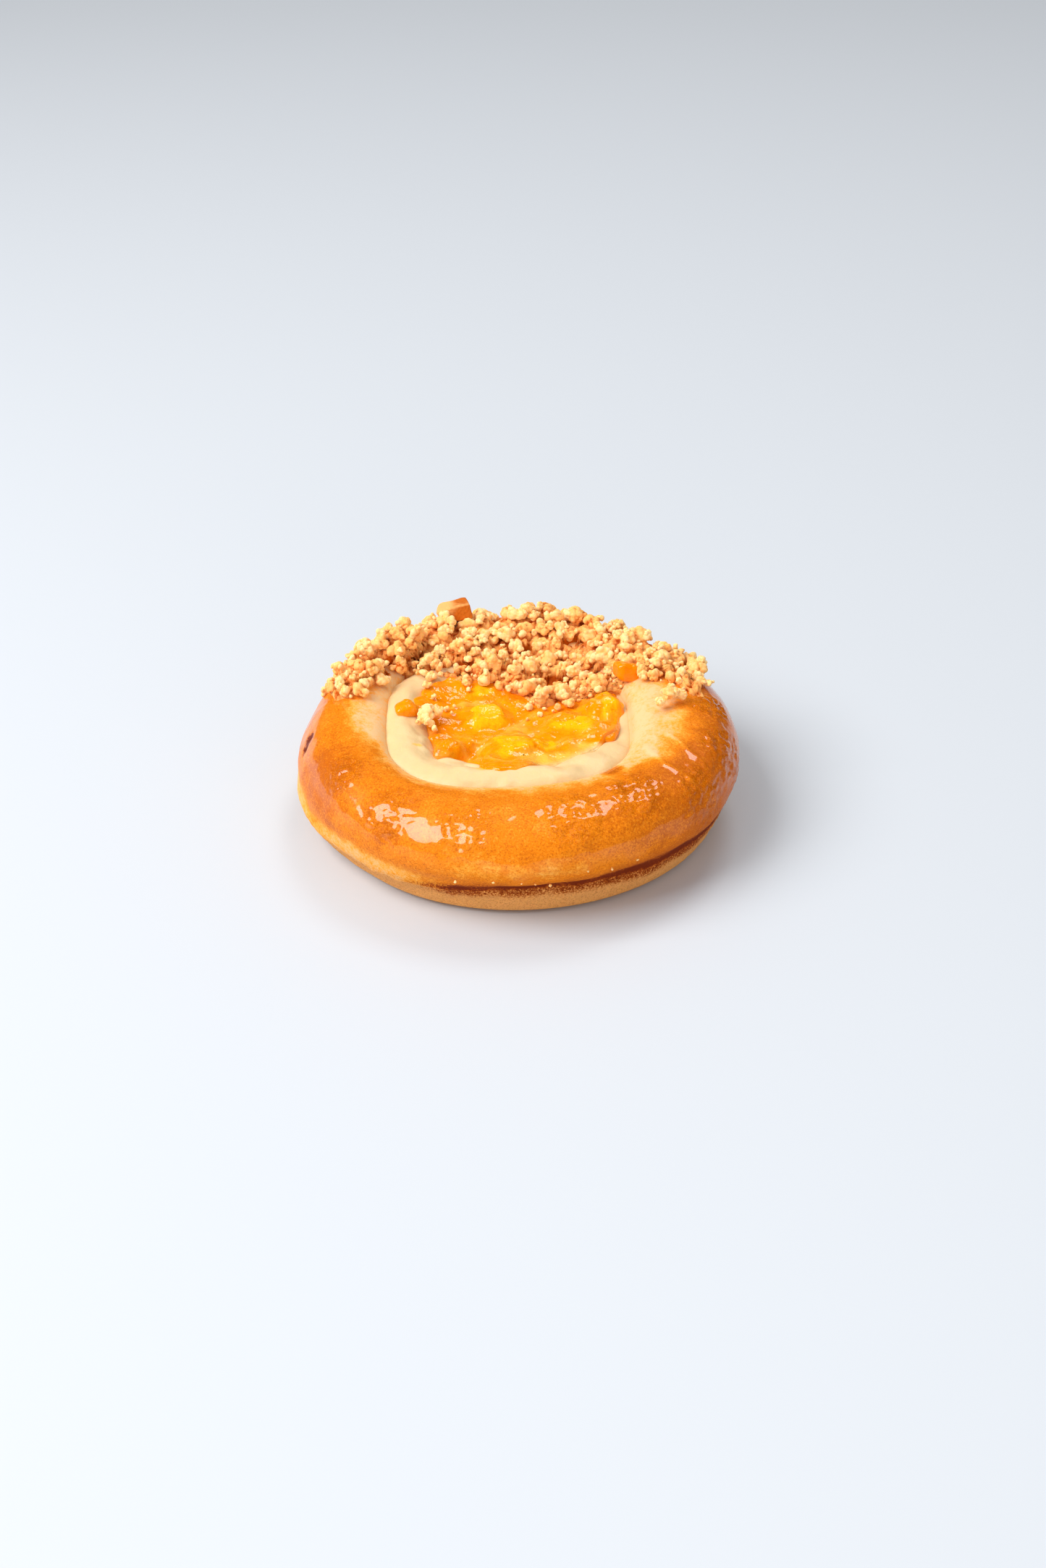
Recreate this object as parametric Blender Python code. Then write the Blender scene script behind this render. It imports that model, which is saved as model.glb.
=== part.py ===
"""Cream cheese kolache: a glazed yeast bun whose well holds cream cheese and orange fruit jam, with streusel.

Metres, +Z up. The origin is the centre of the flat base, and -Y is the front, the side without streusel.
Sizes and places below are in millimetres, and every mesh is made in metres. Angles run from +X towards +Y.
"""

import math

import bmesh
import bpy
import numpy as np
from mathutils import Euler, Vector

MM = 0.001
GAP = 0.35
WELD = 0.000001
SEED = 41

# Dough
DOUGH_SIDES = 46
SHOWN_STEPS = 2
STATIONS = (-90.0, -8.0, 90.0, 188.0, 228.0)
# Section of the dough at each station, from the flat base over the ring and down into the well:
# how far the point belongs to the well's own outline, then radius and height at each station.
DOUGH_SECTION = (
    (0.0, (44.3, 0.0), (46.5, 0.0), (46.0, 0.0), (48.0, 0.0), (45.2, 0.0)),
    (0.0, (46.9, 1.5), (49.2, 1.6), (49.0, 1.6), (50.8, 1.7), (47.8, 1.6)),
    (0.0, (49.0, 5.6), (51.6, 5.6), (51.5, 5.0), (53.2, 4.8), (50.3, 5.2)),
    (0.0, (49.9, 9.4), (53.2, 10.0), (53.0, 8.5), (54.3, 8.4), (51.7, 8.8)),
    (0.0, (51.9, 11.6), (54.2, 12.6), (53.8, 12.0), (54.8, 12.0), (53.2, 11.8)),
    (0.0, (54.0, 14.6), (54.9, 15.4), (54.2, 15.0), (54.6, 15.2), (54.2, 14.8)),
    (0.0, (54.8, 18.2), (54.8, 18.8), (53.8, 18.6), (53.5, 18.6), (54.2, 18.4)),
    (0.0, (53.2, 22.6), (53.0, 22.9), (52.0, 22.6), (51.4, 22.6), (52.4, 22.6)),
    (0.0, (48.9, 26.2), (48.9, 26.4), (48.2, 26.2), (47.6, 26.2), (48.4, 26.2)),
    (0.15, (42.0, 28.0), (42.0, 28.0), (41.5, 28.0), (41.4, 28.0), (41.8, 28.0)),
    (0.55, (35.7, 27.2), (35.2, 27.3), (35.3, 27.2), (35.5, 27.2), (35.6, 27.2)),
    (0.9, (31.2, 25.1), (31.0, 25.3), (31.0, 25.1), (31.1, 25.1), (31.2, 25.1)),
    (1.0, (29.4, 22.2), (29.4, 22.2), (29.4, 22.2), (29.4, 22.2), (29.4, 22.2)),
)
# Below the lip the well is alike all round: radius and height, down to its floor.
WELL_SECTION = ((28.3, 17.0), (24.6, 12.7), (14.0, 10.6), (4.0, 10.2))
RING_HEIGHT = 28.0
RING_LUMP = 0.45
WELL_CENTRE = (-1.9, 0.8)
WELL_SQUARENESS = 2.8

# Cream cheese: its top at the front and left, and at the right, where the jam reaches the dough
CREAM_SIDES = 34
CREAM_SWOLLEN = (
    (29.0, 22.4), (29.8, 24.0), (28.3, 25.4), (26.0, 25.9), (23.6, 25.0),
    (20.6, 22.4), (16.5, 18.6), (9.5, 16.4), (3.0, 16.0)
)
CREAM_BARE = (
    (28.4, 19.4), (28.9, 21.2), (28.2, 21.4), (26.0, 20.9), (23.6, 20.2),
    (20.6, 19.2), (16.5, 17.6), (9.5, 16.3), (3.0, 16.0)
)
BARE_STATIONS = (-90.0, -48.0, -8.0, 60.0, 110.0, 180.0)
BARE_SHARE = (0.0, 0.0, 0.8, 1.0, 0.1, 0.0)
CREAM_LUMP = 0.35

# Jam: how far it reaches from the well's centre at angles round it, in the well's own outline
JAM_SIDES = 36
JAM_STATIONS = (-90.0, -62.0, -35.0, -10.0, 12.0, 50.0, 90.0, 135.0, 165.0, 190.0, 215.0, 240.0)
JAM_REACH = (23.4, 20.9, 22.0, 27.3, 28.8, 28.8, 25.5, 23.1, 24.7, 20.3, 19.7, 20.2)
JAM_TOP = ((1.0, 0.45), (0.95, 0.8), (0.84, 0.7), (0.66, 0.45), (0.44, 0.2), (0.2, 0.0), (0.07, 0.0))
JAM_UNDER_SHARES = (0.1, 0.4, 0.7, 0.9, 0.985)
JAM_CENTRE_HEIGHT = 22.0
JAM_LUMP = 0.3

# Fruit chunks: place of the centre, size and turn about the three axes
CHUNKS = (
    ((-7.6, 4.6, 21.4), (8.6, 7.0, 6.0), (8, -10, 12)),
    ((-1.6, -9.4, 21.6), (10.6, 7.0, 5.8), (14, 4, -6)),
    ((21.4, 8.0, 22.0), (8.0, 7.0, 6.2), (-6, 16, 34)),
    ((21.0, -3.8, 21.8), (7.6, 6.2, 5.6), (10, 14, -22)),
    ((-17.0, -11.0, 22.6), (6.4, 5.2, 4.8), (16, -8, 40)),
    ((12.4, 1.4, 21.2), (7.8, 6.8, 5.4), (-10, 8, -18)),
    ((-27.6, 3.0, 26.2), (5.2, 4.6, 4.0), (6, -14, 20)),
    ((28.2, 17.6, 27.2), (6.4, 5.6, 4.6), (-12, 10, 15)),
)
CHUNK_BEVEL = 0.26
CHUNK_UNEVEN = 0.35

# Streusel: a heap over the far part of the ring and the well, from its right end round to its left end.
# Its inner edge is a radius from the bun's axis at each angle, and its core is thickest at the left.
HEAP_ENDS = (3.0, 176.0)
HEAP_OUTER_RADIUS = 48.2
HEAP_OUTER_WAVE = 1.6
HEAP_STATIONS = (3.0, 12.0, 22.0, 29.0, 38.0, 60.0, 100.0, 124.0, 136.0, 148.0, 166.0, 176.0)
HEAP_INNER_RADII = (43.0, 41.0, 38.0, 31.0, 18.0, 9.0, 14.5, 20.0, 31.0, 35.5, 38.0, 43.0)
HEAP_CORE_THICK = (2.0, 2.8, 3.2, 3.2, 3.0, 3.2, 3.6, 4.2, 4.8, 5.2, 4.6, 2.4)
HEAP_SECTIONS = 42
HEAP_ACROSS = 8
HEAP_FLOOR = 18.0
HEAP_EDGE_THICK = 1.0
HEAP_RELIEF = 0.45
# Crumbs: spacing as a share of two crumbs' radii together, and rise of the centre as a share of the radius
LUMP_COUNT = 76
LUMP_RADIUS = (2.3, 3.6)
LUMP_SPACING = 0.78
LUMP_RISE = 0.25
GRAIN_COUNT = 34
GRAIN_RADIUS = (1.3, 2.0)
GRAIN_SPACING = 1.1
GRAIN_RISE = 0.3
CLUMP_RISE = 0.75
PLACE_TRIES = 200
# Granules of a crumb: how far out their centres lie and how large they are, as shares of the crumb's radius
GRANULES = 8
GRANULE_OFFSET = (0.35, 0.5)
GRANULE_SIZE = (0.52, 0.66)
CRUMB_DETAIL = 1
BISCUIT_CHUNK = ((-15.6, 40.6, 33.4), (8.2, 5.0, 4.4), (-14, -10, 10))

# Crumbs that lie apart from the heap: place and radius of each crumb of a clump
CLUMPS = (
    ("streusel_clump_left", ((-22.4, 0.2, 2.4), (-19.8, 1.4, 1.8), (-21.4, -2.4, 1.6), (-23.4, -2.0, 1.4))),
    ("streusel_clump_right", ((37.2, 0.8, 2.5), (37.8, 4.2, 2.1), (40.4, 2.0, 1.7), (35.0, -0.6, 1.6))),
)

COLOURS = {
    "dough": ((0.55, 0.22, 0.05), 0.28),
    "cream_cheese": ((0.9, 0.78, 0.48), 0.4),
    "fruit_jam": ((0.9, 0.36, 0.03), 0.12),
    "fruit_chunk": ((0.95, 0.5, 0.04), 0.12),
    "streusel": ((0.8, 0.5, 0.2), 0.75),
    "biscuit_chunk": ((0.62, 0.3, 0.1), 0.75),
}


def around(angles, stations, values):
    """Values given at stations in degrees, eased from each station to the next all round the bun."""
    turn = np.degrees(angles)
    start = stations[0]
    turn = (turn - start) % 360.0 + start
    ends = np.append(stations, start + 360.0)
    values = np.concatenate([values, values[:1]])
    i = np.clip(np.searchsorted(ends, turn, side="right") - 1, 0, len(stations) - 1)
    share = (turn - ends[i]) / (ends[i + 1] - ends[i])
    ease = 0.5 - 0.5 * np.cos(math.pi * share)
    return values[i] + (values[i + 1] - values[i]) * ease


def spline(keys, steps):
    """Catmull-Rom curve through keys along their first axis, with the same number of steps in each span."""
    before = 2 * keys[:1] - keys[1:2]
    after = 2 * keys[-1:] - keys[-2:-1]
    keys = np.concatenate([before, keys, after])
    points = []
    for a, b, c, d in zip(keys, keys[1:], keys[2:], keys[3:]):
        for t in np.arange(steps) / steps:
            bend = (2 * a - 5 * b + 4 * c - d) * t**2 + (3 * b - a - 3 * c + d) * t**3
            points.append(0.5 * (2 * b + (c - a) * t + bend))
    points.append(keys[-2])
    return np.array(points)


def squareness(angles, share):
    """How far the well's rounded square stands out past its circle of the same width, at angles."""
    power = WELL_SQUARENESS
    spread = np.abs(np.cos(angles)) ** power + np.abs(np.sin(angles)) ** power
    return 1.0 + share * (spread ** (-1.0 / power) - 1.0)


def lump(angles, waves, size):
    """A sum of slow waves round the bun, each given as its count and phase, at most size high."""
    total = sum(np.cos(count * angles + phase) for count, phase in waves)
    return size * total / len(waves)


def place(angles, radius, height, share):
    """Points at a radius from the bun's axis (share 0) or the well's centre and outline (share 1)."""
    reach = radius * squareness(angles, share)
    x = share * WELL_CENTRE[0] + reach * np.cos(angles)
    y = share * WELL_CENTRE[1] + reach * np.sin(angles)
    return np.stack([x, y, height], axis=-1)


def dough_rings():
    """Rings of the dough from its flat base, up its side, over the ring and down to the well's floor."""
    angles = np.arange(DOUGH_SIDES) * 2 * math.pi / DOUGH_SIDES
    keys = []
    for share, *sizes in DOUGH_SECTION:
        radius, height = (around(angles, STATIONS, np.array(sizes)[:, k]) for k in (0, 1))
        level = min(1.0, height.mean() / RING_HEIGHT) if share < 1 else 0.0
        side = math.sin(math.pi * level)
        radius = radius + lump(angles, ((3, 0.4), (5, 2.1), (7, 4.0)), RING_LUMP) * side
        height = height + lump(angles, ((2, 1.0), (3, 3.3), (5, 0.2)), RING_LUMP) * level**2
        keys.append(place(angles, radius, height, share))
    well = [place(angles, r * np.ones(DOUGH_SIDES), z * np.ones(DOUGH_SIDES), 1.0) for r, z in WELL_SECTION]
    return np.concatenate([spline(np.array(keys), SHOWN_STEPS), well])


def cream_keys(angles):
    """Radius and height of the cream's top, from the well's wall to the middle, at angles."""
    bare = around(angles, BARE_STATIONS, np.array(BARE_SHARE))[:, None]
    keys = []
    for swollen, low in zip(CREAM_SWOLLEN, CREAM_BARE):
        keys.append(np.array(swollen) * (1 - bare) + np.array(low) * bare)
    keys = np.array(keys)
    wave = lump(angles, ((4, 0.5), (7, 2.2), (9, 5.0)), CREAM_LUMP)
    keys[2:5, :, 1] += wave
    return keys


def cream_rings():
    """Rings of the cream from the middle of its underside, up the well's wall and in over its top."""
    angles = np.arange(CREAM_SIDES) * 2 * math.pi / CREAM_SIDES
    level = np.ones(CREAM_SIDES)
    rings = [place(angles, level * (r - GAP), level * (z + GAP), 1.0) for r, z in reversed(WELL_SECTION)]
    top = spline(cream_keys(angles), 1)
    rings += [place(angles, ring[:, 0], ring[:, 1], 1.0) for ring in top]
    return np.array(rings)


def cream_height(angles, radius):
    """Height of the cream's top at a radius, in the well's own outline, from its centre."""
    keys = cream_keys(angles)[:0:-1]
    return np.array([np.interp(r, keys[:, k, 0], keys[:, k, 1]) for k, r in enumerate(radius)])


def jam_rings():
    """Rings of the jam from the middle of its underside, out along the cream and back over its top."""
    angles = np.arange(JAM_SIDES) * 2 * math.pi / JAM_SIDES
    reach = around(angles, JAM_STATIONS, np.array(JAM_REACH))
    edge = cream_height(angles, reach) + GAP
    rings = []
    for share in JAM_UNDER_SHARES:
        rings.append(place(angles, reach * share, cream_height(angles, reach * share) + GAP, 1.0))
    for share, rise in JAM_TOP:
        lean = share**2
        height = edge * lean + JAM_CENTRE_HEIGHT * (1 - lean) + rise
        height = height + lump(angles, ((3, 1.0), (5, 0.3), (8, 2.0)), JAM_LUMP) * share * (1 - share) * 4
        rings.append(place(angles, reach * share, height, 1.0))
    return np.array(rings)


def material(name):
    """A plain material in the sub-part's colour."""
    if name in bpy.data.materials:
        return bpy.data.materials[name]
    colour, roughness = COLOURS[name]
    made = bpy.data.materials.new(name)
    made.use_nodes = True
    shader = made.node_tree.nodes["Principled BSDF"]
    shader.inputs["Base Color"].default_value = (*colour, 1.0)
    shader.inputs["Roughness"].default_value = roughness
    shader.inputs["Metallic"].default_value = 0.0
    return made


def add_object(name, bm, kind):
    """An object from a bmesh, in the material of its kind, its faces split into triangles."""
    bmesh.ops.triangulate(bm, faces=bm.faces)
    bmesh.ops.recalc_face_normals(bm, faces=bm.faces)
    mesh = bpy.data.meshes.new(name)
    bm.to_mesh(mesh)
    bm.free()
    mesh.materials.append(material(kind))
    mesh.shade_smooth()
    made = bpy.data.objects.new(name, mesh)
    bpy.context.scene.collection.objects.link(made)
    return made


def add_loft(name, rings, kind):
    """A closed body through rings of points, its first and last rings filled."""
    bm = bmesh.new()
    loops = [[bm.verts.new(point * MM) for point in ring] for ring in rings]
    for low, high in zip(loops, loops[1:]):
        for i, vert in enumerate(low):
            j = (i + 1) % len(low)
            bm.faces.new((vert, low[j], high[j], high[i]))
    bm.faces.new(loops[0][::-1])
    bm.faces.new(loops[-1])
    return add_object(name, bm, kind)


def add_chunk(name, spot, size, turn, kind, rng):
    """A piece cut roughly square: a box with shifted corners and rounded edges."""
    bm = bmesh.new()
    bmesh.ops.create_cube(bm, size=1.0)
    for vert in bm.verts:
        vert.co += Vector(rng.uniform(-0.5, 0.5, 3) * CHUNK_UNEVEN)
        vert.co *= Vector(size) * MM
    width = CHUNK_BEVEL * min(size) * MM
    bmesh.ops.bevel(bm, geom=bm.edges[:], offset=width, segments=1, profile=0.6, affect="EDGES")
    bmesh.ops.rotate(bm, matrix=Euler([math.radians(a) for a in turn]).to_matrix(), verts=bm.verts)
    bmesh.ops.translate(bm, vec=Vector(spot) * MM, verts=bm.verts)
    return add_object(name, bm, kind)


def granules(rng, radius):
    """Centres and radii of the granules that one crumb is made of, all round its own centre."""
    way = rng.normal(size=(GRANULES, 3))
    way /= np.linalg.norm(way, axis=1)[:, None]
    centres = way * radius * rng.uniform(*GRANULE_OFFSET, (GRANULES, 1))
    return centres, radius * rng.uniform(*GRANULE_SIZE, GRANULES)


def crumb_reach(ways, centres, radii):
    """Distance from a crumb's centre to the outside of its granules in each of the unit directions ways."""
    along = ways @ centres.T
    depth = radii**2 - (centres**2).sum(axis=1)
    return (along + np.sqrt(depth + along**2)).max(axis=1)


def add_crumb(name, spot, radius, rng, collection):
    """A crumb with the outline of its granules, made from a ball with few sides."""
    bm = bmesh.new()
    bmesh.ops.create_icosphere(bm, subdivisions=CRUMB_DETAIL, radius=1.0)
    ways = np.array([vert.co for vert in bm.verts])
    reach = crumb_reach(ways / np.linalg.norm(ways, axis=1)[:, None], *granules(rng, radius))
    for vert, distance in zip(bm.verts, reach):
        vert.co = (Vector(spot) + vert.co.normalized() * distance) * MM
    made = add_object(name, bm, "streusel")
    bpy.context.scene.collection.objects.unlink(made)
    collection.objects.link(made)
    return made


def grown(source):
    """A copy of an object with its skin moved out by the gap, to cut its neighbours with."""
    bm = bmesh.new()
    bm.from_mesh(source.data)
    bm.normal_update()
    for vert, normal in [(vert, vert.normal.copy()) for vert in bm.verts]:
        vert.co += normal * GAP * MM
    cutter = add_object(f"cutter_{source.name}", bm, "dough")
    cutter.hide_render = True
    cutter.display_type = "WIRE"
    return cutter


def apply_modifiers(target):
    """Give an object the mesh that its modifiers make."""
    graph = bpy.context.evaluated_depsgraph_get()
    mesh = bpy.data.meshes.new_from_object(target.evaluated_get(graph))
    target.modifiers.clear()
    target.data = mesh


def cut_clear(target, neighbours, solver="EXACT"):
    """Cut an object back to the gap from its neighbours, and keep its largest body."""
    cutters = [grown(neighbour) for neighbour in neighbours]
    for cutter in cutters:
        cut = target.modifiers.new(cutter.name, "BOOLEAN")
        cut.operation = "DIFFERENCE"
        cut.solver = solver
        cut.object = cutter
    apply_modifiers(target)
    for cutter in cutters:
        bpy.data.objects.remove(cutter)
    keep_largest(target)


def join_crumbs(target, collection, solver="EXACT"):
    """Fuse a collection of crumbs onto an object, then remove them."""
    join = target.modifiers.new("crumbs", "BOOLEAN")
    join.operation = "UNION"
    join.solver = solver
    join.operand_type = "COLLECTION"
    join.collection = collection
    apply_modifiers(target)
    for crumb in list(collection.objects):
        bpy.data.objects.remove(crumb)
    bpy.data.collections.remove(collection)
    keep_largest(target)


def shell_area(faces):
    """Total area of some faces."""
    return sum(face.calc_area() for face in faces)


def keep_largest(target):
    """Keep the largest shell of an object, which fills sealed hollows and drops loose scraps."""
    bm = bmesh.new()
    bm.from_mesh(target.data)
    bmesh.ops.remove_doubles(bm, verts=bm.verts, dist=WELD)
    bmesh.ops.triangulate(bm, faces=bm.faces)
    left = set(bm.faces)
    shells = []
    while left:
        front = [left.pop()]
        shell = list(front)
        while front:
            face = front.pop()
            linked = {other for edge in face.edges for other in edge.link_faces} & left
            left -= linked
            front.extend(linked)
            shell.extend(linked)
        shells.append(shell)
    shells.sort(key=shell_area, reverse=True)
    drop = [face for shell in shells[1:] for face in shell]
    bmesh.ops.delete(bm, geom=drop, context="FACES")
    bm.to_mesh(target.data)
    bm.free()


def new_collection(name):
    """A collection for pieces that are about to be joined."""
    made = bpy.data.collections.new(name)
    bpy.context.scene.collection.children.link(made)
    return made


def surface_height(x, y, solids):
    """Height of the uppermost of some solids straight below a point."""
    origin = Vector((x, y, 100.0)) * MM
    best = 0.0
    for solid in solids:
        hit, point, _, _ = solid.ray_cast(origin, Vector((0, 0, -1)))
        if hit:
            best = max(best, point.z / MM)
    return best


def heap_edges(turn):
    """Radii of the heap's inner and outer edges at an angle in degrees."""
    wave = lump(math.radians(turn), ((11, 0.7), (17, 2.9), (29, 4.4)), HEAP_OUTER_WAVE)
    return np.interp(turn, HEAP_STATIONS, HEAP_INNER_RADII), HEAP_OUTER_RADIUS + wave


def heap_spot(turn, across):
    """Place at an angle in degrees and a share of the way from the heap's inner edge to its outer one."""
    inner, outer = heap_edges(turn)
    radius = inner + (outer - inner) * across
    return radius * math.cos(math.radians(turn)), radius * math.sin(math.radians(turn))


def heap_thickness(turn, across):
    """Thickness of the bare core at an angle in degrees and a share of the way across it."""
    middle = np.interp(turn, HEAP_STATIONS, HEAP_CORE_THICK)
    return HEAP_EDGE_THICK + (middle - HEAP_EDGE_THICK) * math.sqrt(math.sin(math.pi * across))


def add_heap(solids, rng):
    """The streusel's bare core: a low bumpy mound over what lies under it, its foot sunk in the solids."""
    sections = []
    for turn in np.linspace(*HEAP_ENDS, HEAP_SECTIONS):
        section = []
        for across in np.linspace(0.0, 1.0, HEAP_ACROSS):
            x, y = heap_spot(turn, across)
            thickness = heap_thickness(turn, across) * rng.uniform(1 - HEAP_RELIEF, 1 + HEAP_RELIEF)
            section.append((x, y, surface_height(x, y, solids) + thickness))
        section.append((*heap_spot(turn, 1.0), HEAP_FLOOR))
        section.append((*heap_spot(turn, 0.0), HEAP_FLOOR))
        sections.append(section)
    return add_loft("streusel", np.array(sections), "streusel")


def scatter(count, radii, spacing, rng):
    """Place, radius and core's thickness for crumbs spread evenly over the heap, none closer than spacing."""
    found = []
    reach = HEAP_OUTER_RADIUS + HEAP_OUTER_WAVE
    for _ in range(count * PLACE_TRIES):
        x, y = rng.uniform(-reach, reach, 2)
        radius = rng.uniform(*radii)
        turn = math.degrees(math.atan2(y, x))
        if not HEAP_ENDS[0] <= turn <= HEAP_ENDS[1]:
            continue
        inner, outer = heap_edges(turn)
        across = (math.hypot(x, y) - inner) / (outer - inner)
        if not 0.0 <= across <= 1.0:
            continue
        if all(math.hypot(x - a, y - b) > spacing * (radius + r) for a, b, r, _ in found):
            found.append((x, y, radius, heap_thickness(turn, across)))
        if len(found) == count:
            break
    return found


def add_streusel(solids, rng):
    """The heap with its crumbs fused on: large lumps on the core, and small grains on and between them.

    So many crumbs cross that the EXACT solver leaves open edges, so the MANIFOLD one joins and cuts them.
    """
    heap = add_heap(solids, rng)
    crumbs = new_collection("crumbs")
    for x, y, radius, thickness in scatter(LUMP_COUNT, LUMP_RADIUS, LUMP_SPACING, rng):
        z = surface_height(x, y, solids) + thickness + LUMP_RISE * radius
        add_crumb("lump", (x, y, z), radius, rng, crumbs)
    bpy.context.view_layer.update()
    covered = [*solids, heap, *crumbs.objects]
    for x, y, radius, _ in scatter(GRAIN_COUNT, GRAIN_RADIUS, GRAIN_SPACING, rng):
        z = surface_height(x, y, covered) + GRAIN_RISE * radius
        add_crumb("grain", (x, y, z), radius, rng, crumbs)
    join_crumbs(heap, crumbs, "MANIFOLD")
    return heap


def add_clump(name, pieces, solids, rng):
    """A few crumbs stuck together, lying apart from the heap."""
    crumbs = new_collection(name)
    under = surface_height(*pieces[0][:2], solids)
    made = []
    for x, y, radius in pieces:
        made.append(add_crumb(name, (x, y, under + CLUMP_RISE * radius), radius, rng, crumbs))
    first = made[0]
    crumbs.objects.unlink(first)
    bpy.context.scene.collection.objects.link(first)
    join_crumbs(first, crumbs)
    first.name = name
    cut_clear(first, solids)
    return first


def build():
    """Model the kolache, one object for each piece."""
    for old in list(bpy.data.objects):
        bpy.data.objects.remove(old)
    rng = np.random.default_rng(SEED)
    dough = add_loft("dough", dough_rings(), "dough")
    cream = add_loft("cream_cheese", cream_rings(), "cream_cheese")
    jam = add_loft("fruit_jam", jam_rings(), "fruit_jam")
    chunks = []
    for number, (spot, size, turn) in enumerate(CHUNKS, start=1):
        chunks.append(add_chunk(f"fruit_chunk_{number}", spot, size, turn, "fruit_chunk", rng))
    biscuit = add_chunk("biscuit_chunk", *BISCUIT_CHUNK, "biscuit_chunk", rng)
    bpy.context.view_layer.update()
    *in_filling, on_ring = chunks
    cut_clear(jam, in_filling)
    cut_clear(cream, in_filling)
    cut_clear(on_ring, [dough])
    bpy.context.view_layer.update()
    solids = [dough, cream, jam, *in_filling]
    clumps = [add_clump(name, pieces, solids, rng) for name, pieces in CLUMPS]
    heap = add_streusel(solids, rng)
    cut_clear(heap, [*solids, on_ring, biscuit, *clumps], "MANIFOLD")


build()
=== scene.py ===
"""Cream cheese kolache: the looks of a glazed yeast bun with cream cheese, orange fruit jam and streusel.

Run as a script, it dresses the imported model. Lengths in the tables are millimetres and meshes are metres.
The origin is the centre of the bun's flat base, +Z is up and -Y is the front. Angles run from +X to +Y.
"""

import math

import bmesh
import bpy
import numpy as np
from mathutils import Euler, Matrix, Vector
from mathutils.bvhtree import BVHTree


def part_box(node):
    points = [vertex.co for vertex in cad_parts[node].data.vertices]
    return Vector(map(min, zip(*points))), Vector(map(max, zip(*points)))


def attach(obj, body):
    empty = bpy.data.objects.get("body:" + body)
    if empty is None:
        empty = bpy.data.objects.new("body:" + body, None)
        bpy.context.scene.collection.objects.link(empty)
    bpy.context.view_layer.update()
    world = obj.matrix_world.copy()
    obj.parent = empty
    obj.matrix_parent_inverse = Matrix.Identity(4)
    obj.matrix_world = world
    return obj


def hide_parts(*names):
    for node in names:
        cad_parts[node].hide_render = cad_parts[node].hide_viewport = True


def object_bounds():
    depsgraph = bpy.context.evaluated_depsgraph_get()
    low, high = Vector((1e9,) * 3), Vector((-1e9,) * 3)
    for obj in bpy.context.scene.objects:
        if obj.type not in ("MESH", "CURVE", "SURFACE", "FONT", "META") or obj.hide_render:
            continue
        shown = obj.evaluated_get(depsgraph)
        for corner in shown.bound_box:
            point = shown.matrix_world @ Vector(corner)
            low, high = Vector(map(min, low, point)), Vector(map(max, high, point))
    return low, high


bl_info = {
    "name": "Cream Cheese Kolache",
    "version": (1, 0, 0),
    "blender": (4, 5, 0),
    "location": "View3D > Sidebar > Kolache",
    "description": "Makes the pieces and finishes of a cream cheese kolache",
    "category": "Add Mesh",
}

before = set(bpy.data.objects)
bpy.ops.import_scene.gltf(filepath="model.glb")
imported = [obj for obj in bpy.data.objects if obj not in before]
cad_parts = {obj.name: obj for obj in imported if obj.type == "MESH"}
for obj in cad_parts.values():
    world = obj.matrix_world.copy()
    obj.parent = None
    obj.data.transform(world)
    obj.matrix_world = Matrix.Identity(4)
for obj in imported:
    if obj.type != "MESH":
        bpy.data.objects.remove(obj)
CAD_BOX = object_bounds()

# Metres in a millimetre, and the gap left between the cream cheese and the dough under it
MM = 0.001
GAP = 0.35

# Dough: stations in degrees, then rows from the base over the ring and down into the well. A row is how much
# it follows the well's centre and outline, from 0 to 1, and its radius and height at each station.
DOUGH_STATIONS = (-90.0, -8.0, 90.0, 188.0, 228.0)
DOUGH_SECTION = (
    (0.0, (44.3, 0.0), (46.5, 0.0), (46.0, 0.0), (48.0, 0.0), (45.2, 0.0)),
    (0.0, (46.9, 1.5), (49.2, 1.6), (49.0, 1.6), (50.8, 1.7), (47.8, 1.6)),
    (0.0, (49.0, 5.6), (51.6, 5.6), (51.5, 5.0), (53.2, 4.8), (50.3, 5.2)),
    (0.0, (49.9, 9.4), (53.2, 10.0), (53.0, 8.5), (54.3, 8.4), (51.7, 8.8)),
    (0.0, (51.9, 11.6), (54.2, 12.6), (53.8, 12.0), (54.8, 12.0), (53.2, 11.8)),
    (0.0, (54.0, 14.6), (54.9, 15.4), (54.2, 15.0), (54.6, 15.2), (54.2, 14.8)),
    (0.0, (54.8, 18.2), (54.8, 18.8), (53.8, 18.6), (53.5, 18.6), (54.2, 18.4)),
    (0.0, (53.2, 22.6), (53.0, 22.9), (52.0, 22.6), (51.4, 22.6), (52.4, 22.6)),
    (0.0, (48.9, 26.2), (48.9, 26.4), (48.2, 26.2), (47.6, 26.2), (48.4, 26.2)),
    (0.15, (42.0, 28.0), (42.0, 28.0), (41.5, 28.0), (41.4, 28.0), (41.8, 28.0)),
    (0.55, (35.7, 27.2), (35.2, 27.3), (35.3, 27.2), (35.5, 27.2), (35.6, 27.2)),
    (0.9, (31.2, 25.1), (31.0, 25.3), (31.0, 25.1), (31.1, 25.1), (31.2, 25.1)),
    (1.0, (29.4, 22.2), (29.4, 22.2), (29.4, 22.2), (29.4, 22.2), (29.4, 22.2)),
)
# The well's wall and floor: radius and height
WELL_SECTION = ((28.3, 17.0), (24.6, 12.7), (14.0, 10.6), (4.0, 10.2))
RING_HEIGHT = 28.0
RING_LUMP = 0.45
# Slow waves round the bun: count and phase
RING_SIDE_WAVES = ((3, 0.4), (5, 2.1), (7, 4.0))
RING_TOP_WAVES = ((2, 1.0), (3, 3.3), (5, 0.2))
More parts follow.
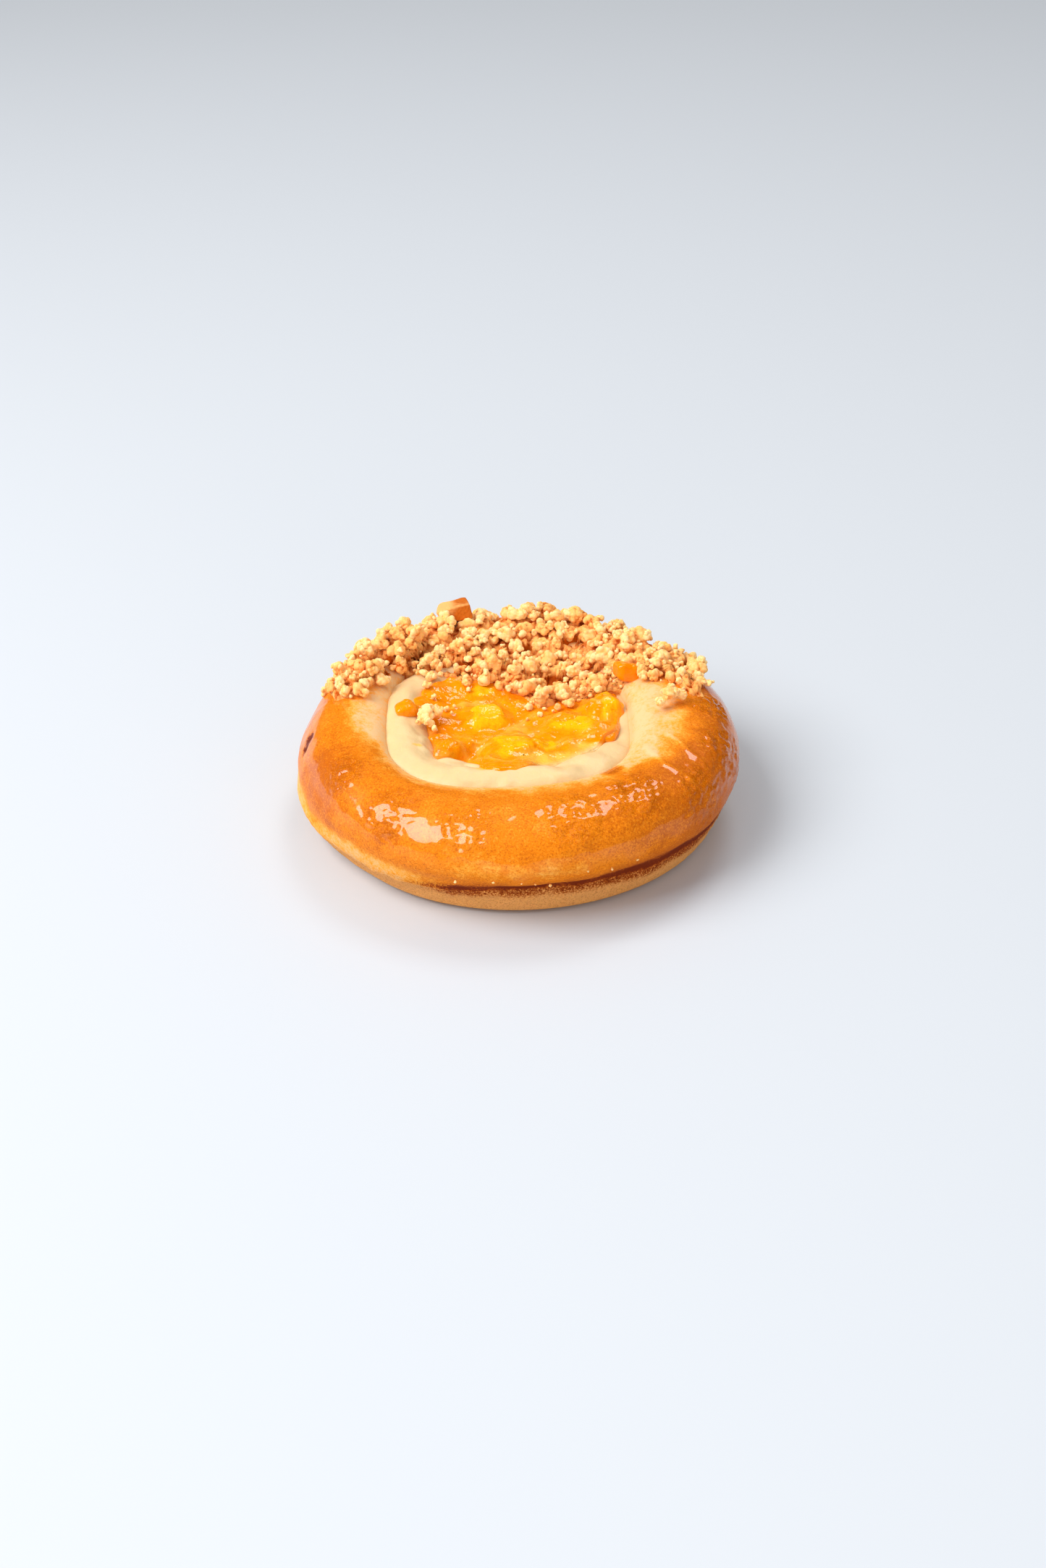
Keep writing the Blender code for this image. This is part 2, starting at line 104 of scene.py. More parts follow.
# Rings of the flat base, in shares of its radius
BASE_RINGS = (0.3, 0.6, 0.85)
WELL_CENTRE = (-1.9, 0.8)
WELL_SQUARENESS = 2.8
BUN_COLUMNS = 440
BUN_STEPS = 13

# Cream cheese: radius and height of its top from the wall to the middle, where it is swollen and where it
# leaves the wall bare, and how bare the wall is at stations in degrees
CREAM_SWOLLEN = (
    (29.0, 22.4), (29.8, 24.0), (28.3, 25.4), (26.0, 25.9), (23.6, 25.0),
    (20.6, 22.4), (16.5, 18.6), (9.5, 16.4), (3.0, 16.0)
)
CREAM_BARE = (
    (28.4, 19.4), (28.9, 21.2), (28.2, 21.4), (26.0, 20.9), (23.6, 20.2),
    (20.6, 19.2), (16.5, 17.6), (9.5, 16.3), (3.0, 16.0)
)
BARE_WALL = ((-90.0, 0.0), (-48.0, 0.0), (-8.0, 0.8), (60.0, 1.0), (110.0, 0.1), (180.0, 0.0))
CREAM_LUMP = 0.35
CREAM_WAVES = ((4, 0.5), (7, 2.2), (9, 5.0))
# How much further out its first rings reach, and how many times that at stations in degrees
CREAM_SPREAD = (0.6, 0.5, 0.3, 0.1)
CREAM_WIDENING = ((180.0, 1.0), (212.0, 2.3), (240.0, 2.3), (268.0, 1.0))
# Where the cream has swollen inwards: place, half width across and along, rise
CREAM_SWELLS = ((-11.5, -16.5, 6.5, 4.5, 2.0), (-20.5, -9.5, 4.0, 4.5, 0.8), (13.0, -17.5, 8.0, 3.5, 0.5))
CREAM_COLUMNS = 300
CREAM_STEPS = 10

# Jam: its reach at stations in degrees, then shares of the reach and the top's rise over the cream there
JAM_REACH = (
    (-90.0, 26.4), (-82.0, 24.8), (-66.0, 21.3), (-50.0, 20.8), (-30.0, 22.4), (-5.0, 26.6), (12.0, 28.4),
    (50.0, 28.8), (90.0, 25.5), (135.0, 23.1), (150.0, 24.0), (168.0, 24.5), (185.0, 20.6), (205.0, 20.0),
    (222.0, 21.4), (234.0, 18.2), (246.0, 20.1), (258.0, 26.0),
)
JAM_TOP = (
    (1.0, -0.9), (0.975, 0.25), (0.95, 0.8), (0.84, 0.85), (0.66, 0.45), (0.44, 0.2), (0.2, 0.0),
    (0.0, 0.0),
)
JAM_UNDER_SHARES = (0.1, 0.4, 0.7, 0.9, 0.985)
JAM_DEPTH = 1.2
JAM_CENTRE_HEIGHT = 22.0
JAM_LUMP = 0.3
JAM_TOP_WAVES = ((3, 1.0), (5, 0.3), (8, 2.0))
JAM_EDGE_WAVES = ((13, 0.4), (19, 2.2), (31, 1.0))
JAM_COLUMNS = 360
JAM_ROWS = 130
JAM_EDGE_ROWS = 12.0
# How far round a fruit piece the jam creeps up, in half sizes, and how high
CREEP_REACH = (0.6, 1.75)
CREEP_SHARE = 0.45
# Where the jam runs out over the bare wall of the well at the right
JAM_SPREAD = 0.9
JAM_FRAY = 0.6
# Pale veins on the jam, each a line of points
VEINS = (
    ((-15.7, 7.9), (-12.3, 8.9), (-8.4, 9.4), (-5.0, 8.1)),
    ((-15.1, -3.3), (-11.3, -6.4), (-8.3, -6.9), (-6.1, -4.1), (-3.8, -2.6), (-0.4, -3.5), (2.2, -2.8),
     (5.3, -0.8), (8.0, 2.0), (10.7, 3.6), (13.1, 7.2)),
    ((-13.5, -15.7), (-10.5, -14.8), (-8.3, -15.4), (-6.0, -18.6), (-3.8, -20.2), (-1.6, -20.2),
     (0.2, -19.0), (2.1, -16.6), (4.4, -13.6), (7.4, -10.8), (9.7, -9.2), (13.5, -8.0), (17.2, -6.8),
     (20.3, -4.4), (23.3, 2.0)),
    ((9.3, -7.7), (12.8, -6.2), (15.8, -4.9), (18.5, -3.0), (21.3, 0.9), (23.0, 3.8)),
    ((-1.9, -1.2), (-0.4, 1.9), (2.3, 3.8), (4.6, 5.9)),
    ((16.8, 12.3), (18.5, 8.4), (20.8, 7.6), (23.2, 9.2)),
    ((-15.1, -6.3), (-13.9, -10.2), (-11.6, -13.4)),
)
VEIN_WIDTH = 0.75
VEIN_HEIGHT = 0.3
# Patches on the jam: place, half width across and along, rise
YELLOW_PATCHES = (
    (-7.6, 2.5, 5.0, 4.2, 0.2), (-1.9, -11.0, 4.9, 6.0, 0.3), (14.8, -0.6, 5.6, 4.2, 0.4),
    (23.0, 5.7, 2.6, 3.8, 0.3), (20.8, 17.1, 4.6, 7.0, 0.7), (6.7, -9.2, 3.2, 3.3, 0.4),
    (-8.4, 15.0, 3.5, 2.4, 0.2),
)
# Deep orange patches; those at the back, under the crumbs' edge, are painted shade of the crumbs
DEEP_AND_SHADE_PATCHES = (
    (-18.6, -4.6, 3.6, 5.0, 0.2), (-17.9, -13.0, 3.4, 1.6, 0.0), (20.6, -6.8, 3.6, 3.2, 0.1),
    (-19.0, 15.9, 2.6, 2.8, 0.0), (-3.0, 13.8, 4.6, 3.0, 0.0), (8.3, 16.5, 3.6, 4.1, 0.0),
    (-14.5, 1.9, 1.9, 3.2, 0.0), (17.4, 7.2, 1.9, 1.8, 0.1),
)
# Pale peach patches: the one in the middle is a painted reflection on a flat spot of jelly, the others pale
# marbling
PEACH_AND_SHEEN_PATCHES = ((0.6, 1.2, 2.6, 3.6, -0.2), (-10.5, 9.6, 4.6, 1.1, 0.1), (-9.0, -9.4, 2.4, 2.0, -0.2))
FILM_PATCHES = ((8.8, -16.4, 8.6, 4.6, 0.0), (17.0, -11.5, 5.0, 3.0, 0.0))
# How far the film sags, by its distance from the well's centre
FILM_SAG = ((12.0, 20.0), (0.0, 0.75))
# Jam on the cream cheese, in patches like those, then specks in the jam as place and radius
STAINS = ((-23.9, -11.8, 1.5, 0.7, 0.0), (-8.0, -23.6, 3.6, 0.9, 0.0))
SPECKS = (
    (-3.3, -13.2, 0.24), (1.5, -15.7, 0.28), (-3.9, 5.3, 0.15), (-12.0, -20.0, 0.12), (10.5, -9.4, 0.12),
)
SPECK_LIFT = 0.55
SPECK_COLOURS = ((0.02, 0.012, 0.006), (0.06, 0.03, 0.012))
# How deep the colour of each fruit piece is
FRUIT_DEPTH = (0.0, 0.1, 0.15, 0.75, 0.8, 0.55, 0.6, 0.95)

# Crust: skin that is crinkled, as place and reach, and how crinkled it is elsewhere
CRINKLES = (
    (-30.0, -39.5, 24.0, 9.0), (-12.5, -47.5, 25.0, 9.5), (-41.0, -25.0, 25.5, 8.0),
    (12.0, -45.0, 26.5, 11.0), (27.0, -37.0, 27.0, 10.0), (44.0, -30.0, 21.0, 12.0),
    (50.0, -14.0, 22.0, 12.0), (47.0, 2.0, 26.0, 8.0),
)
CRINKLE_EVERYWHERE = 0.08
# Where the pale ring round the well ends, at stations in degrees, and how far it fades to both sides
PALE_REACH = (
    (-90.0, 35.0), (-50.0, 37.0), (-15.0, 42.0), (30.0, 42.0), (90.0, 40.0), (180.0, 41.5), (225.0, 36.5),
)
PALE_FADE = 6.5
CLOUD_REACH = 4.0
# Above this height, or inside this radius, the pale ring counts
SHOULDER_HEIGHT = 24.0
SHOULDER_RADIUS = 35.0
# At stations in degrees: how pale the low left is, how brown the side is, browner on the right partly as
# painted shade, and how pale the low front is
LEFT_PALENESS = ((-130.0, 0.75), (-98.0, 0.0), (60.0, 0.15), (150.0, 0.75))
SIDE_BROWN_AND_SHADE = ((-90.0, 0.85), (-30.0, 1.45), (30.0, 1.2), (120.0, 0.95), (200.0, 1.0))
FRONT_PALENESS = ((-125.0, 0.0), (-95.0, 0.4), (-60.0, 0.3), (-35.0, 0.0))
# At stations in degrees: how glazed the low part is, and how far the waist is filled
LOW_GLAZE = ((-125.0, 0.2), (-90.0, 0.0), (-40.0, 0.0), (-5.0, 0.9), (120.0, 0.9))
WAIST_FILL = ((150.0, 0.0), (185.0, 0.9), (250.0, 0.9), (272.0, 0.0))
WAIST_HEIGHT = 8.6
# The browned line at stations in degrees: height of its middle, spread above it, and strength
LINE_HEIGHT = ((-90.0, 9.8), (-45.0, 9.0), (-8.0, 8.8), (90.0, 8.5), (188.0, 8.4), (228.0, 8.8))
LINE_SPREAD = ((-140.0, 0.9), (-100.0, 1.3), (-60.0, 1.7), (-10.0, 1.9), (40.0, 1.2))
LINE_STRENGTH = (
    (-150.0, 0.0), (-122.0, 0.12), (-100.0, 1.0), (-55.0, 1.0), (-10.0, 0.95), (25.0, 0.3), (120.0, 0.1),
)
LINE_SPREAD_BELOW = 1.1
LINE_TAIL = 0.42
LINE_DEPTH = 0.3
# The line and the skirt lie outside these radii of the base
LINE_FROM_RADIUS = 40.0
SKIRT_FROM_RADIUS = 20.0
# How far the skin lies inside the solid before its relief is added
SKIN_INSET = 0.5
# Browner spots on the ring: place, reach and amount, then burnt ones: place and reach
BROWN_SPOTS = (
    (21.6, -25.5, 27.0, 4.2, 1.2), (-45.0, -22.0, 21.0, 17.0, 0.4), (-31.0, -40.0, 24.0, 12.0, 0.2),
    (47.0, -20.0, 20.0, 12.0, 0.3),
)
BURNS = (
    (-51.8, -3.7, 22.4, 2.8), (-52.3, -5.4, 20.6, 1.8), (-40.4, 1.6, 26.6, 0.8), (-45.2, 0.6, 26.0, 0.7),
    (-42.0, -1.0, 26.4, 0.6),
)
BURN_ROUGHNESS = 0.5
# Raised creases in the skin, each a line of points
CREASES = (((30.5, -17.0), (34.4, -25.3), (41.5, -30.0)), ((36.0, -12.0), (40.5, -19.0), (45.0, -24.0)))
CREASE_WIDTH = 0.7
CREASE_HEIGHT = 0.25
CREASE_PALENESS = 0.35
# Grains of sugar on the bun's side, and the least and greatest of their radii
SUGAR = (
    (0.5, -54.2, 14.0), (9.6, -51.5, 20.4), (12.2, -51.0, 20.6), (15.8, -51.8, 15.6), (3.6, -54.0, 13.6),
    (-6.0, -53.8, 14.2), (21.4, -49.6, 14.6), (7.1, -53.8, 13.2), (-14.8, -52.2, 13.4), (27.5, -46.4, 14.8),
)
SUGAR_RADII = (0.28, 0.5)
GRAIN_DETAIL = 2

# Fruit and biscuit: centre, size and turn about the three axes
CHUNKS = (
    ((-7.6, 4.6, 21.4), (8.6, 7.0, 6.0), (8, -10, 12)),
    ((-1.6, -9.4, 21.6), (10.6, 7.0, 5.8), (14, 4, -6)),
    ((21.4, 8.0, 22.0), (8.0, 7.0, 6.2), (-6, 16, 34)),
    ((21.0, -3.8, 21.8), (7.6, 6.2, 5.6), (10, 14, -22)),
    ((-17.0, -11.0, 22.6), (6.4, 5.2, 4.8), (16, -8, 40)),
    ((12.4, 1.4, 21.2), (7.8, 6.8, 5.4), (-10, 8, -18)),
    ((-27.6, 3.0, 26.2), (5.2, 4.6, 4.0), (6, -14, 20)),
    ((28.2, 17.6, 27.2), (6.4, 5.6, 4.6), (-12, 10, 15)),
)
BISCUIT_CHUNK = ((-15.6, 40.6, 33.4), (8.2, 5.0, 4.4), (-14, -10, 10))
CHUNKS_IN_JAM = 6
CHUNK_UNEVEN = 0.35
CHUNK_SEED = 41
CHUNK_ROWS = 44
CHUNK_COLUMNS = 72
POLE_TILT = 0.495
BISCUIT_SHARPNESS = 0.12
BISCUIT_ROUGHNESS = 0.22

# Streusel: the heap's ends, its outer edge, and its inner edge at stations in degrees
HEAP_ENDS = (3.0, 176.0)
HEAP_OUTER_RADIUS = 48.2
HEAP_OUTER_WAVE = 1.6
HEAP_WAVES = ((11, 0.7), (17, 2.9), (29, 4.4))
HEAP_STATIONS = (3.0, 12.0, 22.0, 29.0, 38.0, 60.0, 100.0, 124.0, 136.0, 148.0, 166.0, 176.0)
HEAP_INNER_RADII = (43.0, 41.0, 38.0, 31.0, 18.0, 9.0, 14.5, 20.0, 31.0, 35.5, 38.0, 43.0)
CRUMB_SEED = 7
# The grid of heights over the heap: its cells and its least and greatest x and y
CELL = 0.5
CELLS_X = (-54.0, 54.01)
CELLS_Y = (-12.0, 54.01)
# A crumb's share that sinks in, the share of its radius that stands over its centre, and the share that
# counts once it is packed in
CRUMB_SINK = 0.55
CRUMB_TOP = 0.9
PACKED_SHARE = 0.92
FILL_TRIES = 14
# Small crumbs stuck on large ones: tries, the large ones' least radius and its span up to certainty, shares
STUCK_TRIES = 2
STUCK_FROM = 0.8
STUCK_SPAN = 1.6
STUCK_SIZES = (0.35, 0.62)
# A crumb's lumps and knobs
LUMPS_EACH = 8
LUMP_BASE = 0.56
LUMP_SIZES = (0.38, 0.62)
CRUMB_STRETCH = (0.8, 1.12)
KNOB_MIDDLE = 0.6
FULL_KNOBS_FROM = 1.6
KNOB_HEIGHT = 0.36
FINE_KNOB_HEIGHT = 0.14
# Painted shade: how much darker and browner crumbs are in their creases and for each millimetre down in the
# heap; then their own tints
CREASE_SHADE = 1.0
DEPTH_SHADE = 0.22
HEAP_TINTS = (-0.4, 0.1)
CLUMP_TINTS = (-0.3, 0.2)
CLUMP_LIFT = 0.4
CLUMP_DETAIL = 4
CEILING_GAP = 0.15
# The heap's core
CORE_TURNS = 420
CORE_ACROSS = 121
CORE_SHARE = 0.6
# The core's tint is painted shade: it shows between the crumbs as their crevices
CORE_SHADE = 0.75
CORE_END_GAP = 3.0
CORE_INSET = 1.2
CORE_ROOT = 2.4
# Its knobs: width, seed, height and share of the painted crease shade
CORE_KNOBS = ((4.0, 71, 1.5, 0.3), (2.0, 78, 1.0, 0.35), (1.0, 75, 0.5, 0.35))
# Hollows sunk into the heap and darkened with painted shade: place, half width across and along, rise
HOLLOWS = (
    (-31.5, 20.9, 3.0, 2.2, -3.0), (-16.3, 22.7, 3.0, 2.2, -3.0), (-5.7, 28.3, 1.8, 1.5, -2.0),
    (-18.5, 18.2, 2.4, 1.6, -1.5), (2.6, 30.4, 1.6, 1.4, -2.0), (14.4, 32.5, 1.4, 1.4, -2.0),
    (8.5, 19.5, 1.6, 1.4, -1.5),
)
HOLLOW_SHADE = 1.4
HOLLOW_MARGIN = 1.2
# No crumbs are dropped at the heap's front ends: the side, from which x and up to which y
BARE_ENDS = ((1, 41.0, 12.5), (-1, 34.0, 9.5))
# Crumbs dropped after the marked ones: how many, radii, highest top over the target
FILL = ((34, (2.5, 3.4), 1.7), (60, (1.6, 2.4), 1.0), (130, (0.9, 1.5), 0.8), (140, (0.4, 0.8), 0.8))
# Kinds of crumb by radius, and the detail of the ball that each is made from
CRUMB_SIZES = (
    ("chunks", 2.6, 9.0, 5), ("lumps", 1.4, 2.6, 4), ("crumbs", 0.75, 1.4, 3), ("grains", 0.0, 0.75, 2),
)
# Crumbs that can be told apart: centre and radius
MARKED_CRUMBS = (
    (-46.1, 11.4, 27.9, 2.1), (-42.5, 7.2, 29.2, 2), (-38.5, 7.3, 29.6, 2.3), (-40.9, 5.7, 28.6, 0.7),
    (-40.5, 16.1, 30.3, 3.4), (-44, 17.5, 27.8, 1.8), (-38.8, 27.7, 28.3, 2.3), (-33.5, 13.9, 28.3, 2.1),
    (-34.2, 20.1, 29.3, 1.9), (-36.8, 19.2, 29.6, 1.9), (-29.1, 21.3, 27.8, 2.6), (-30, 23.6, 31.3, 2.4),
    (-24.6, 24.8, 24.6, 1.1), (-21.6, 19, 26.1, 1.6), (-22.4, 14.3, 26.4, 1.3), (-20.6, 10, 25.5, 1),
    (-19.2, 20.7, 25.5, 0.9), (-17.6, 24.6, 26.4, 1.5), (-15.3, 23.4, 25.6, 1.2), (-12.7, 17.4, 25.5, 1.5),
    (-12.1, 14.8, 24.5, 0.9), (-9.3, 23.1, 26.8, 2.2), (-6.2, 19.2, 25.4, 1.7), (-4.2, 16.7, 24.6, 1.6),
    (-20.7, 30.3, 29.8, 2), (-26.6, 25.8, 31.7, 2.4), (-17.9, 31.3, 30.6, 2.6), (-12.5, 36.7, 30, 2.8),
    (-8.4, 33.9, 29, 2.4), (-12.5, 29.3, 29.4, 2.2), (-5.2, 36.8, 28.4, 2.4), (-21.8, 27.6, 25.8, 1.6),
    (0.1, 18.4, 25, 2.4), (2.6, 14.9, 24.5, 2.8), (5.2, 15, 23.4, 1.7), (2.7, 8.5, 22.9, 1.3),
    (5.6, 5.3, 22.7, 1), (2.4, 3.7, 22.4, 0.6), (11.5, 13.2, 24, 2.7), (13, 9.4, 23.4, 1.7),
    (10.2, 8, 22.9, 1.2), (14.6, 16.9, 23.7, 2.1), (9, 7, 22.6, 0.7), (16, 29, 24, 2.6),
    (19.3, 26.5, 26.2, 2.3), (20.9, 22.5, 23.2, 1.5), (17.6, 22.6, 23.4, 1.4), (18.3, 26.3, 24.3, 1.8),
    (31.2, 16.3, 28.5, 2.2), (31.6, 20.9, 28.9, 2), (29.6, 22.1, 28.6, 1.9), (38.3, 12, 29.3, 2.1),
    (35.9, 14.3, 28.4, 0.9), (40.9, 13.7, 28.7, 1.4), (44.6, 13.6, 28.2, 1.8), (36.7, 19.8, 29.8, 2.8),
    (44.5, 21.9, 26.9, 2), (45.8, 11.8, 27.8, 1.4), (41.2, 22.9, 27.9, 1.8), (33.8, 24.7, 28.9, 1.6),
    (26.7, 38.8, 28.9, 2.3), (24.9, 37.6, 27.6, 1.8), (18.5, 32, 29.7, 2.2), (13.7, 34, 29.1, 2.3),
    (11.3, 35.1, 30.1, 2.3), (7.2, 35.9, 29.7, 2.6), (4.2, 44.5, 28.9, 2.4), (2.4, 36, 28.9, 2.8),
    (-2.1, 33.5, 29.2, 2.2), (5.8, 33, 27, 2.5), (-0.1, 29.1, 28.6, 2.2), (7.7, 26, 26.3, 2.5),
    (11.8, 28.3, 26, 1.9), (4.9, 25.3, 25.6, 2.3), (-0.5, 19, 28.2, 2), (47.8, 11.6, 27.1, 1.5),
    (23.7, 27, 29, 2), (28, 25, 30.4, 1.8), (-2.3, 20, 25.3, 1.9), (-19.8, 6.8, 24.6, 0.7),
    (-17.4, 6.2, 24.2, 0.9), (-15.6, 7.4, 24.2, 0.6), (-16.2, 4.6, 24.0, 0.6), (-20.4, -3.6, 24.6, 1.1),
    (12.4, 3.4, 22.8, 1.0), (-48.0, 13.8, 24.9, 1.5),
)
# Clumps apart from the heap: the CAD node, then each crumb's x, y and radius
CLUMPS = (
    ("streusel_clump_left", ((-22.4, 0.2, 2.4), (-19.8, 1.4, 1.8), (-21.4, -2.4, 1.6), (-23.4, -2.0, 1.4))),
    ("streusel_clump_right", ((37.2, 0.8, 2.5), (37.8, 4.2, 2.1), (40.4, 2.0, 1.7), (35.0, -0.6, 1.6))),
)

# Stage: the floor in millimetres, with its rings as shares of its radius
FLOOR_RADIUS = 6000.0
FLOOR_RINGS = (0.02, 0.1, 0.4, 1.0)
FLOOR_SIDES = 96
FLOOR_DROP = 0.2
FLOOR_COLOUR = (0.58, 0.61, 0.65)
# The camera's distance in millimetres, tilt and roll in degrees, lens and film, and where the base's centre
# falls in the picture, in pixels
CAMERA_DISTANCE = 548.0
CAMERA_TILT = 34.1
CAMERA_ROLL = -0.85
LENS = 50.0
FILM_HEIGHT = 36.0
PICTURE_SIZE = (1445.0, 2167.0)
PICTURE_CENTRE = (716.0, 1109.0)
# Lights: name, place and size in metres, power, and whether it shows in reflections
LIGHTS = (
    ("window", (-0.78, -0.24, 0.92), (0.82, 0.82), 17.0, True),
    ("ceiling", (0.27, 0.55, 1.1), (0.4, 0.4), 3.2, True),
    ("front", (0.25, -0.95, 0.16), (0.9, 0.25), 2.6, False),
)
LIGHT_AIM = (0.0, 0.0, 0.02)
WORLD_BRIGHTNESS = 0.56

# Colours that go with those the panel shows
AMBER_DOUGH = (0.93, 0.37, 0.035)
REDDENED_DOUGH = (0.42, 0.075, 0.002)
CRUST_GRAIN = (0.45, 0.10, 0.015)
# DEEP_JAM also paints the shade at the back of the jam, under the crumbs' edge
DEEP_JAM = (0.90, 0.23, 0.001)
# VEIN_COLOUR also paints a reflection on a flat spot of jelly
VEIN_COLOUR = (0.95, 0.47, 0.07)
FILM_COLOUR = (0.93, 0.52, 0.07)
PALE_CRUMB = (0.99, 0.66, 0.30)
# Crumb colour of the painted shade in creases, hollows and deep in the heap
SHADED_CRUMB = (0.55, 0.10, 0.003)


class KolacheSizes(bpy.types.PropertyGroup):
    """Sizes that can be changed before the pieces are made."""

    wrinkle: bpy.props.FloatProperty(
        name="Skin wrinkles", description="Height of the wrinkles in the glazed skin",
        default=0.00028, min=0.0, max=0.001, unit="LENGTH", subtype="DISTANCE")
    cream_swell: bpy.props.FloatProperty(
        name="Cream lumps", description="Height of the soft lumps in the cream cheese",
        default=0.0008, min=0.0, max=0.002, unit="LENGTH", subtype="DISTANCE")
    jam_swell: bpy.props.FloatProperty(
        name="Jam lumps", description="Height of the soft lumps in the jam",
        default=0.0005, min=0.0, max=0.002, unit="LENGTH", subtype="DISTANCE")
    crumb_share: bpy.props.FloatProperty(
        name="Crumbs", description="Share of the usual number of crumbs in the heap",
        default=1.0, min=0.1, max=1.0, subtype="FACTOR")


def colour_property(name, description, default):
    """A colour that can be changed before the pieces are made."""
    return bpy.props.FloatVectorProperty(
        name=name, description=description, default=default, size=3, min=0.0, max=1.0, subtype="COLOR")


class KolacheColours(bpy.types.PropertyGroup):
    """Colours that can be changed before the pieces are made."""

    pale_dough: colour_property("Pale dough", "Dough that has hardly browned", (0.80, 0.50, 0.24))
    golden_dough: colour_property("Golden dough", "Glazed dough between pale and brown", (0.80, 0.21, 0.002))
    brown_dough: colour_property("Brown dough", "Glazed dough where it baked most", (0.56, 0.12, 0.0005))
    dark_line: colour_property("Browned line", "The line where the side met the tin", (0.15, 0.014, 0.0005))
    skirt: colour_property("Skirt", "Matt dough under the browned line", (0.93, 0.42, 0.12))
    cream: colour_property("Cream cheese", "The filling under the jam", (0.76, 0.54, 0.27))
    jam: colour_property("Jam", "The orange jam", (0.90, 0.275, 0.002))
    fruit: colour_property("Fruit", "The pieces of fruit in the jam", (0.92, 0.45, 0.005))
    crumb: colour_property("Streusel", "The butter crumbs", (0.97, 0.48, 0.14))
    biscuit: colour_property("Biscuit", "The browner piece on the streusel", (0.87, 0.43, 0.13))


def around(angles, table):
    """Values from a table of stations in degrees and values, each eased to the next by half a cosine."""
    stations, values = np.array(table).T
    start = stations[0]
    turn = (np.degrees(angles) - start) % 360.0 + start
    ends = np.append(stations, start + 360.0)
    values = np.append(values, values[0])
    i = np.clip(np.searchsorted(ends, turn, side="right") - 1, 0, len(stations) - 1)
    share = (turn - ends[i]) / (ends[i + 1] - ends[i])
    return values[i] + (values[i + 1] - values[i]) * (0.5 - 0.5 * np.cos(math.pi * share))


def spline(keys, steps):
    """Catmull-Rom curve through keys along their first axis, with the same number of steps in each span."""
    keys = np.concatenate([2 * keys[:1] - keys[1:2], keys, 2 * keys[-1:] - keys[-2:-1]])
    a, b, c, d = keys[:-3], keys[1:-2], keys[2:-1], keys[3:]
    points = []
    for t in np.arange(steps) / steps:
        bend = (2 * a - 5 * b + 4 * c - d) * t**2 + (3 * b - a - 3 * c + d) * t**3
        points.append(0.5 * (2 * b + (c - a) * t + bend))
    points = np.stack(points, axis=1).reshape(-1, *keys.shape[1:])
    return np.concatenate([points, keys[-2:-1]])


def squareness(angles, share):
    """Share of the way from a circle to the well's rounded square: (|cos|^p + |sin|^p)^(-1/p)."""
    power = WELL_SQUARENESS
    spread = np.abs(np.cos(angles)) ** power + np.abs(np.sin(angles)) ** power
    return 1.0 + share * (spread ** (-1.0 / power) - 1.0)


def lump(angles, waves, size):
    """A sum of slow waves round the bun, each given as its count and phase, at most size high."""
    return size * sum(np.cos(count * angles + phase) for count, phase in waves) / len(waves)


def place(angles, radius, height, share):
    """Points at a radius from the bun's axis (share 0) or the well's centre and outline (share 1)."""
    reach = radius * squareness(angles, share)
    x = share * WELL_CENTRE[0] + reach * np.cos(angles)
    y = share * WELL_CENTRE[1] + reach * np.sin(angles)
    return np.stack([x, y, height * np.ones_like(x)], axis=-1)


def smooth(value, low, high):
    """Eased step from 0 at low to 1 at high: 3s^2 - 2s^3 of the share s of the way."""
    share = np.clip((value - low) / (high - low), 0.0, 1.0)
    return share * share * (3.0 - 2.0 * share)


def bell(value, middle, width):
    """1 at a middle and falling away on both sides of it: e^-((value - middle) / width)^2."""
    return np.exp(-(((value - middle) / width) ** 2))


def spot_share(grid, spot, reach, core, stretch=1.0):
    """1 round a spot and 0 past its reach: an eased step of the distance, from a share of the reach."""
    away = np.linalg.norm(grid - np.array(spot), axis=-1) * stretch
    return 1.0 - smooth(away, core * reach, reach)


def hashed(index, seed):
    """A hashed value from -1 to 1 for each whole-numbered cell."""
    mixed = index[..., 0] * 73856093 ^ index[..., 1] * 19349663 ^ index[..., 2] * 83492791 ^ seed * 6971
    mixed = (mixed ^ (mixed >> 13)) * 1274126177 & 0x7FFFFFFF
    return ((mixed ^ (mixed >> 15)) & 0xFFFF) / 32767.5 - 1.0


def noise(points, width, seed):
    """Smooth noise from -1 to 1: hashed values at the corners of cells of a width, eased between them."""
    cell = points / width
    base = np.floor(cell).astype(np.int64)
    part = cell - base
    part = part * part * (3 - 2 * part)
    total = np.zeros(points.shape[:-1])
    for corner in np.ndindex(2, 2, 2):
        weight = np.where(corner, part, 1 - part).prod(axis=-1)
        total += hashed(base + np.array(corner), seed) * weight
    return total


def knobs(points, width, seed):
    """Round knobs from 0 between them to 1 at their tops, one at a hashed spot in each cell of a width.
    A knob's height at a distance d from its spot, in cells, is sqrt(1 - d^2 / 0.5)."""
    cell = points / width
    base = np.floor(cell).astype(np.int64)
    nearest = np.full(points.shape[:-1], 9.0)
    for corner in np.ndindex(3, 3, 3):
        index = base + np.array(corner) - 1
        away = np.zeros(points.shape[:-1])
        for axis in range(3):
            away += (cell[..., axis] - index[..., axis] - 0.5 - 0.4 * hashed(index, seed + axis)) ** 2
        nearest = np.minimum(nearest, away)
    return np.sqrt(np.clip(1.0 - nearest / 0.5, 0.0, 1.0))


def folds(points, width, seed):
    """Narrow ridges between -1 and 1, where smooth noise changes sign."""
    return 1.0 - 2.0 * np.abs(noise(points, width, seed)) ** 0.7


def grid_normals(grid):
    """Unit normals of a surface on a grid whose columns run round it, from the cross product of its steps."""
    along = np.gradient(grid, axis=0)
    across = (np.roll(grid, -1, axis=1) - np.roll(grid, 1, axis=1)) / 2
    normal = np.cross(across, along)
    return normal / np.maximum(np.linalg.norm(normal, axis=-1, keepdims=True), 1e-12)


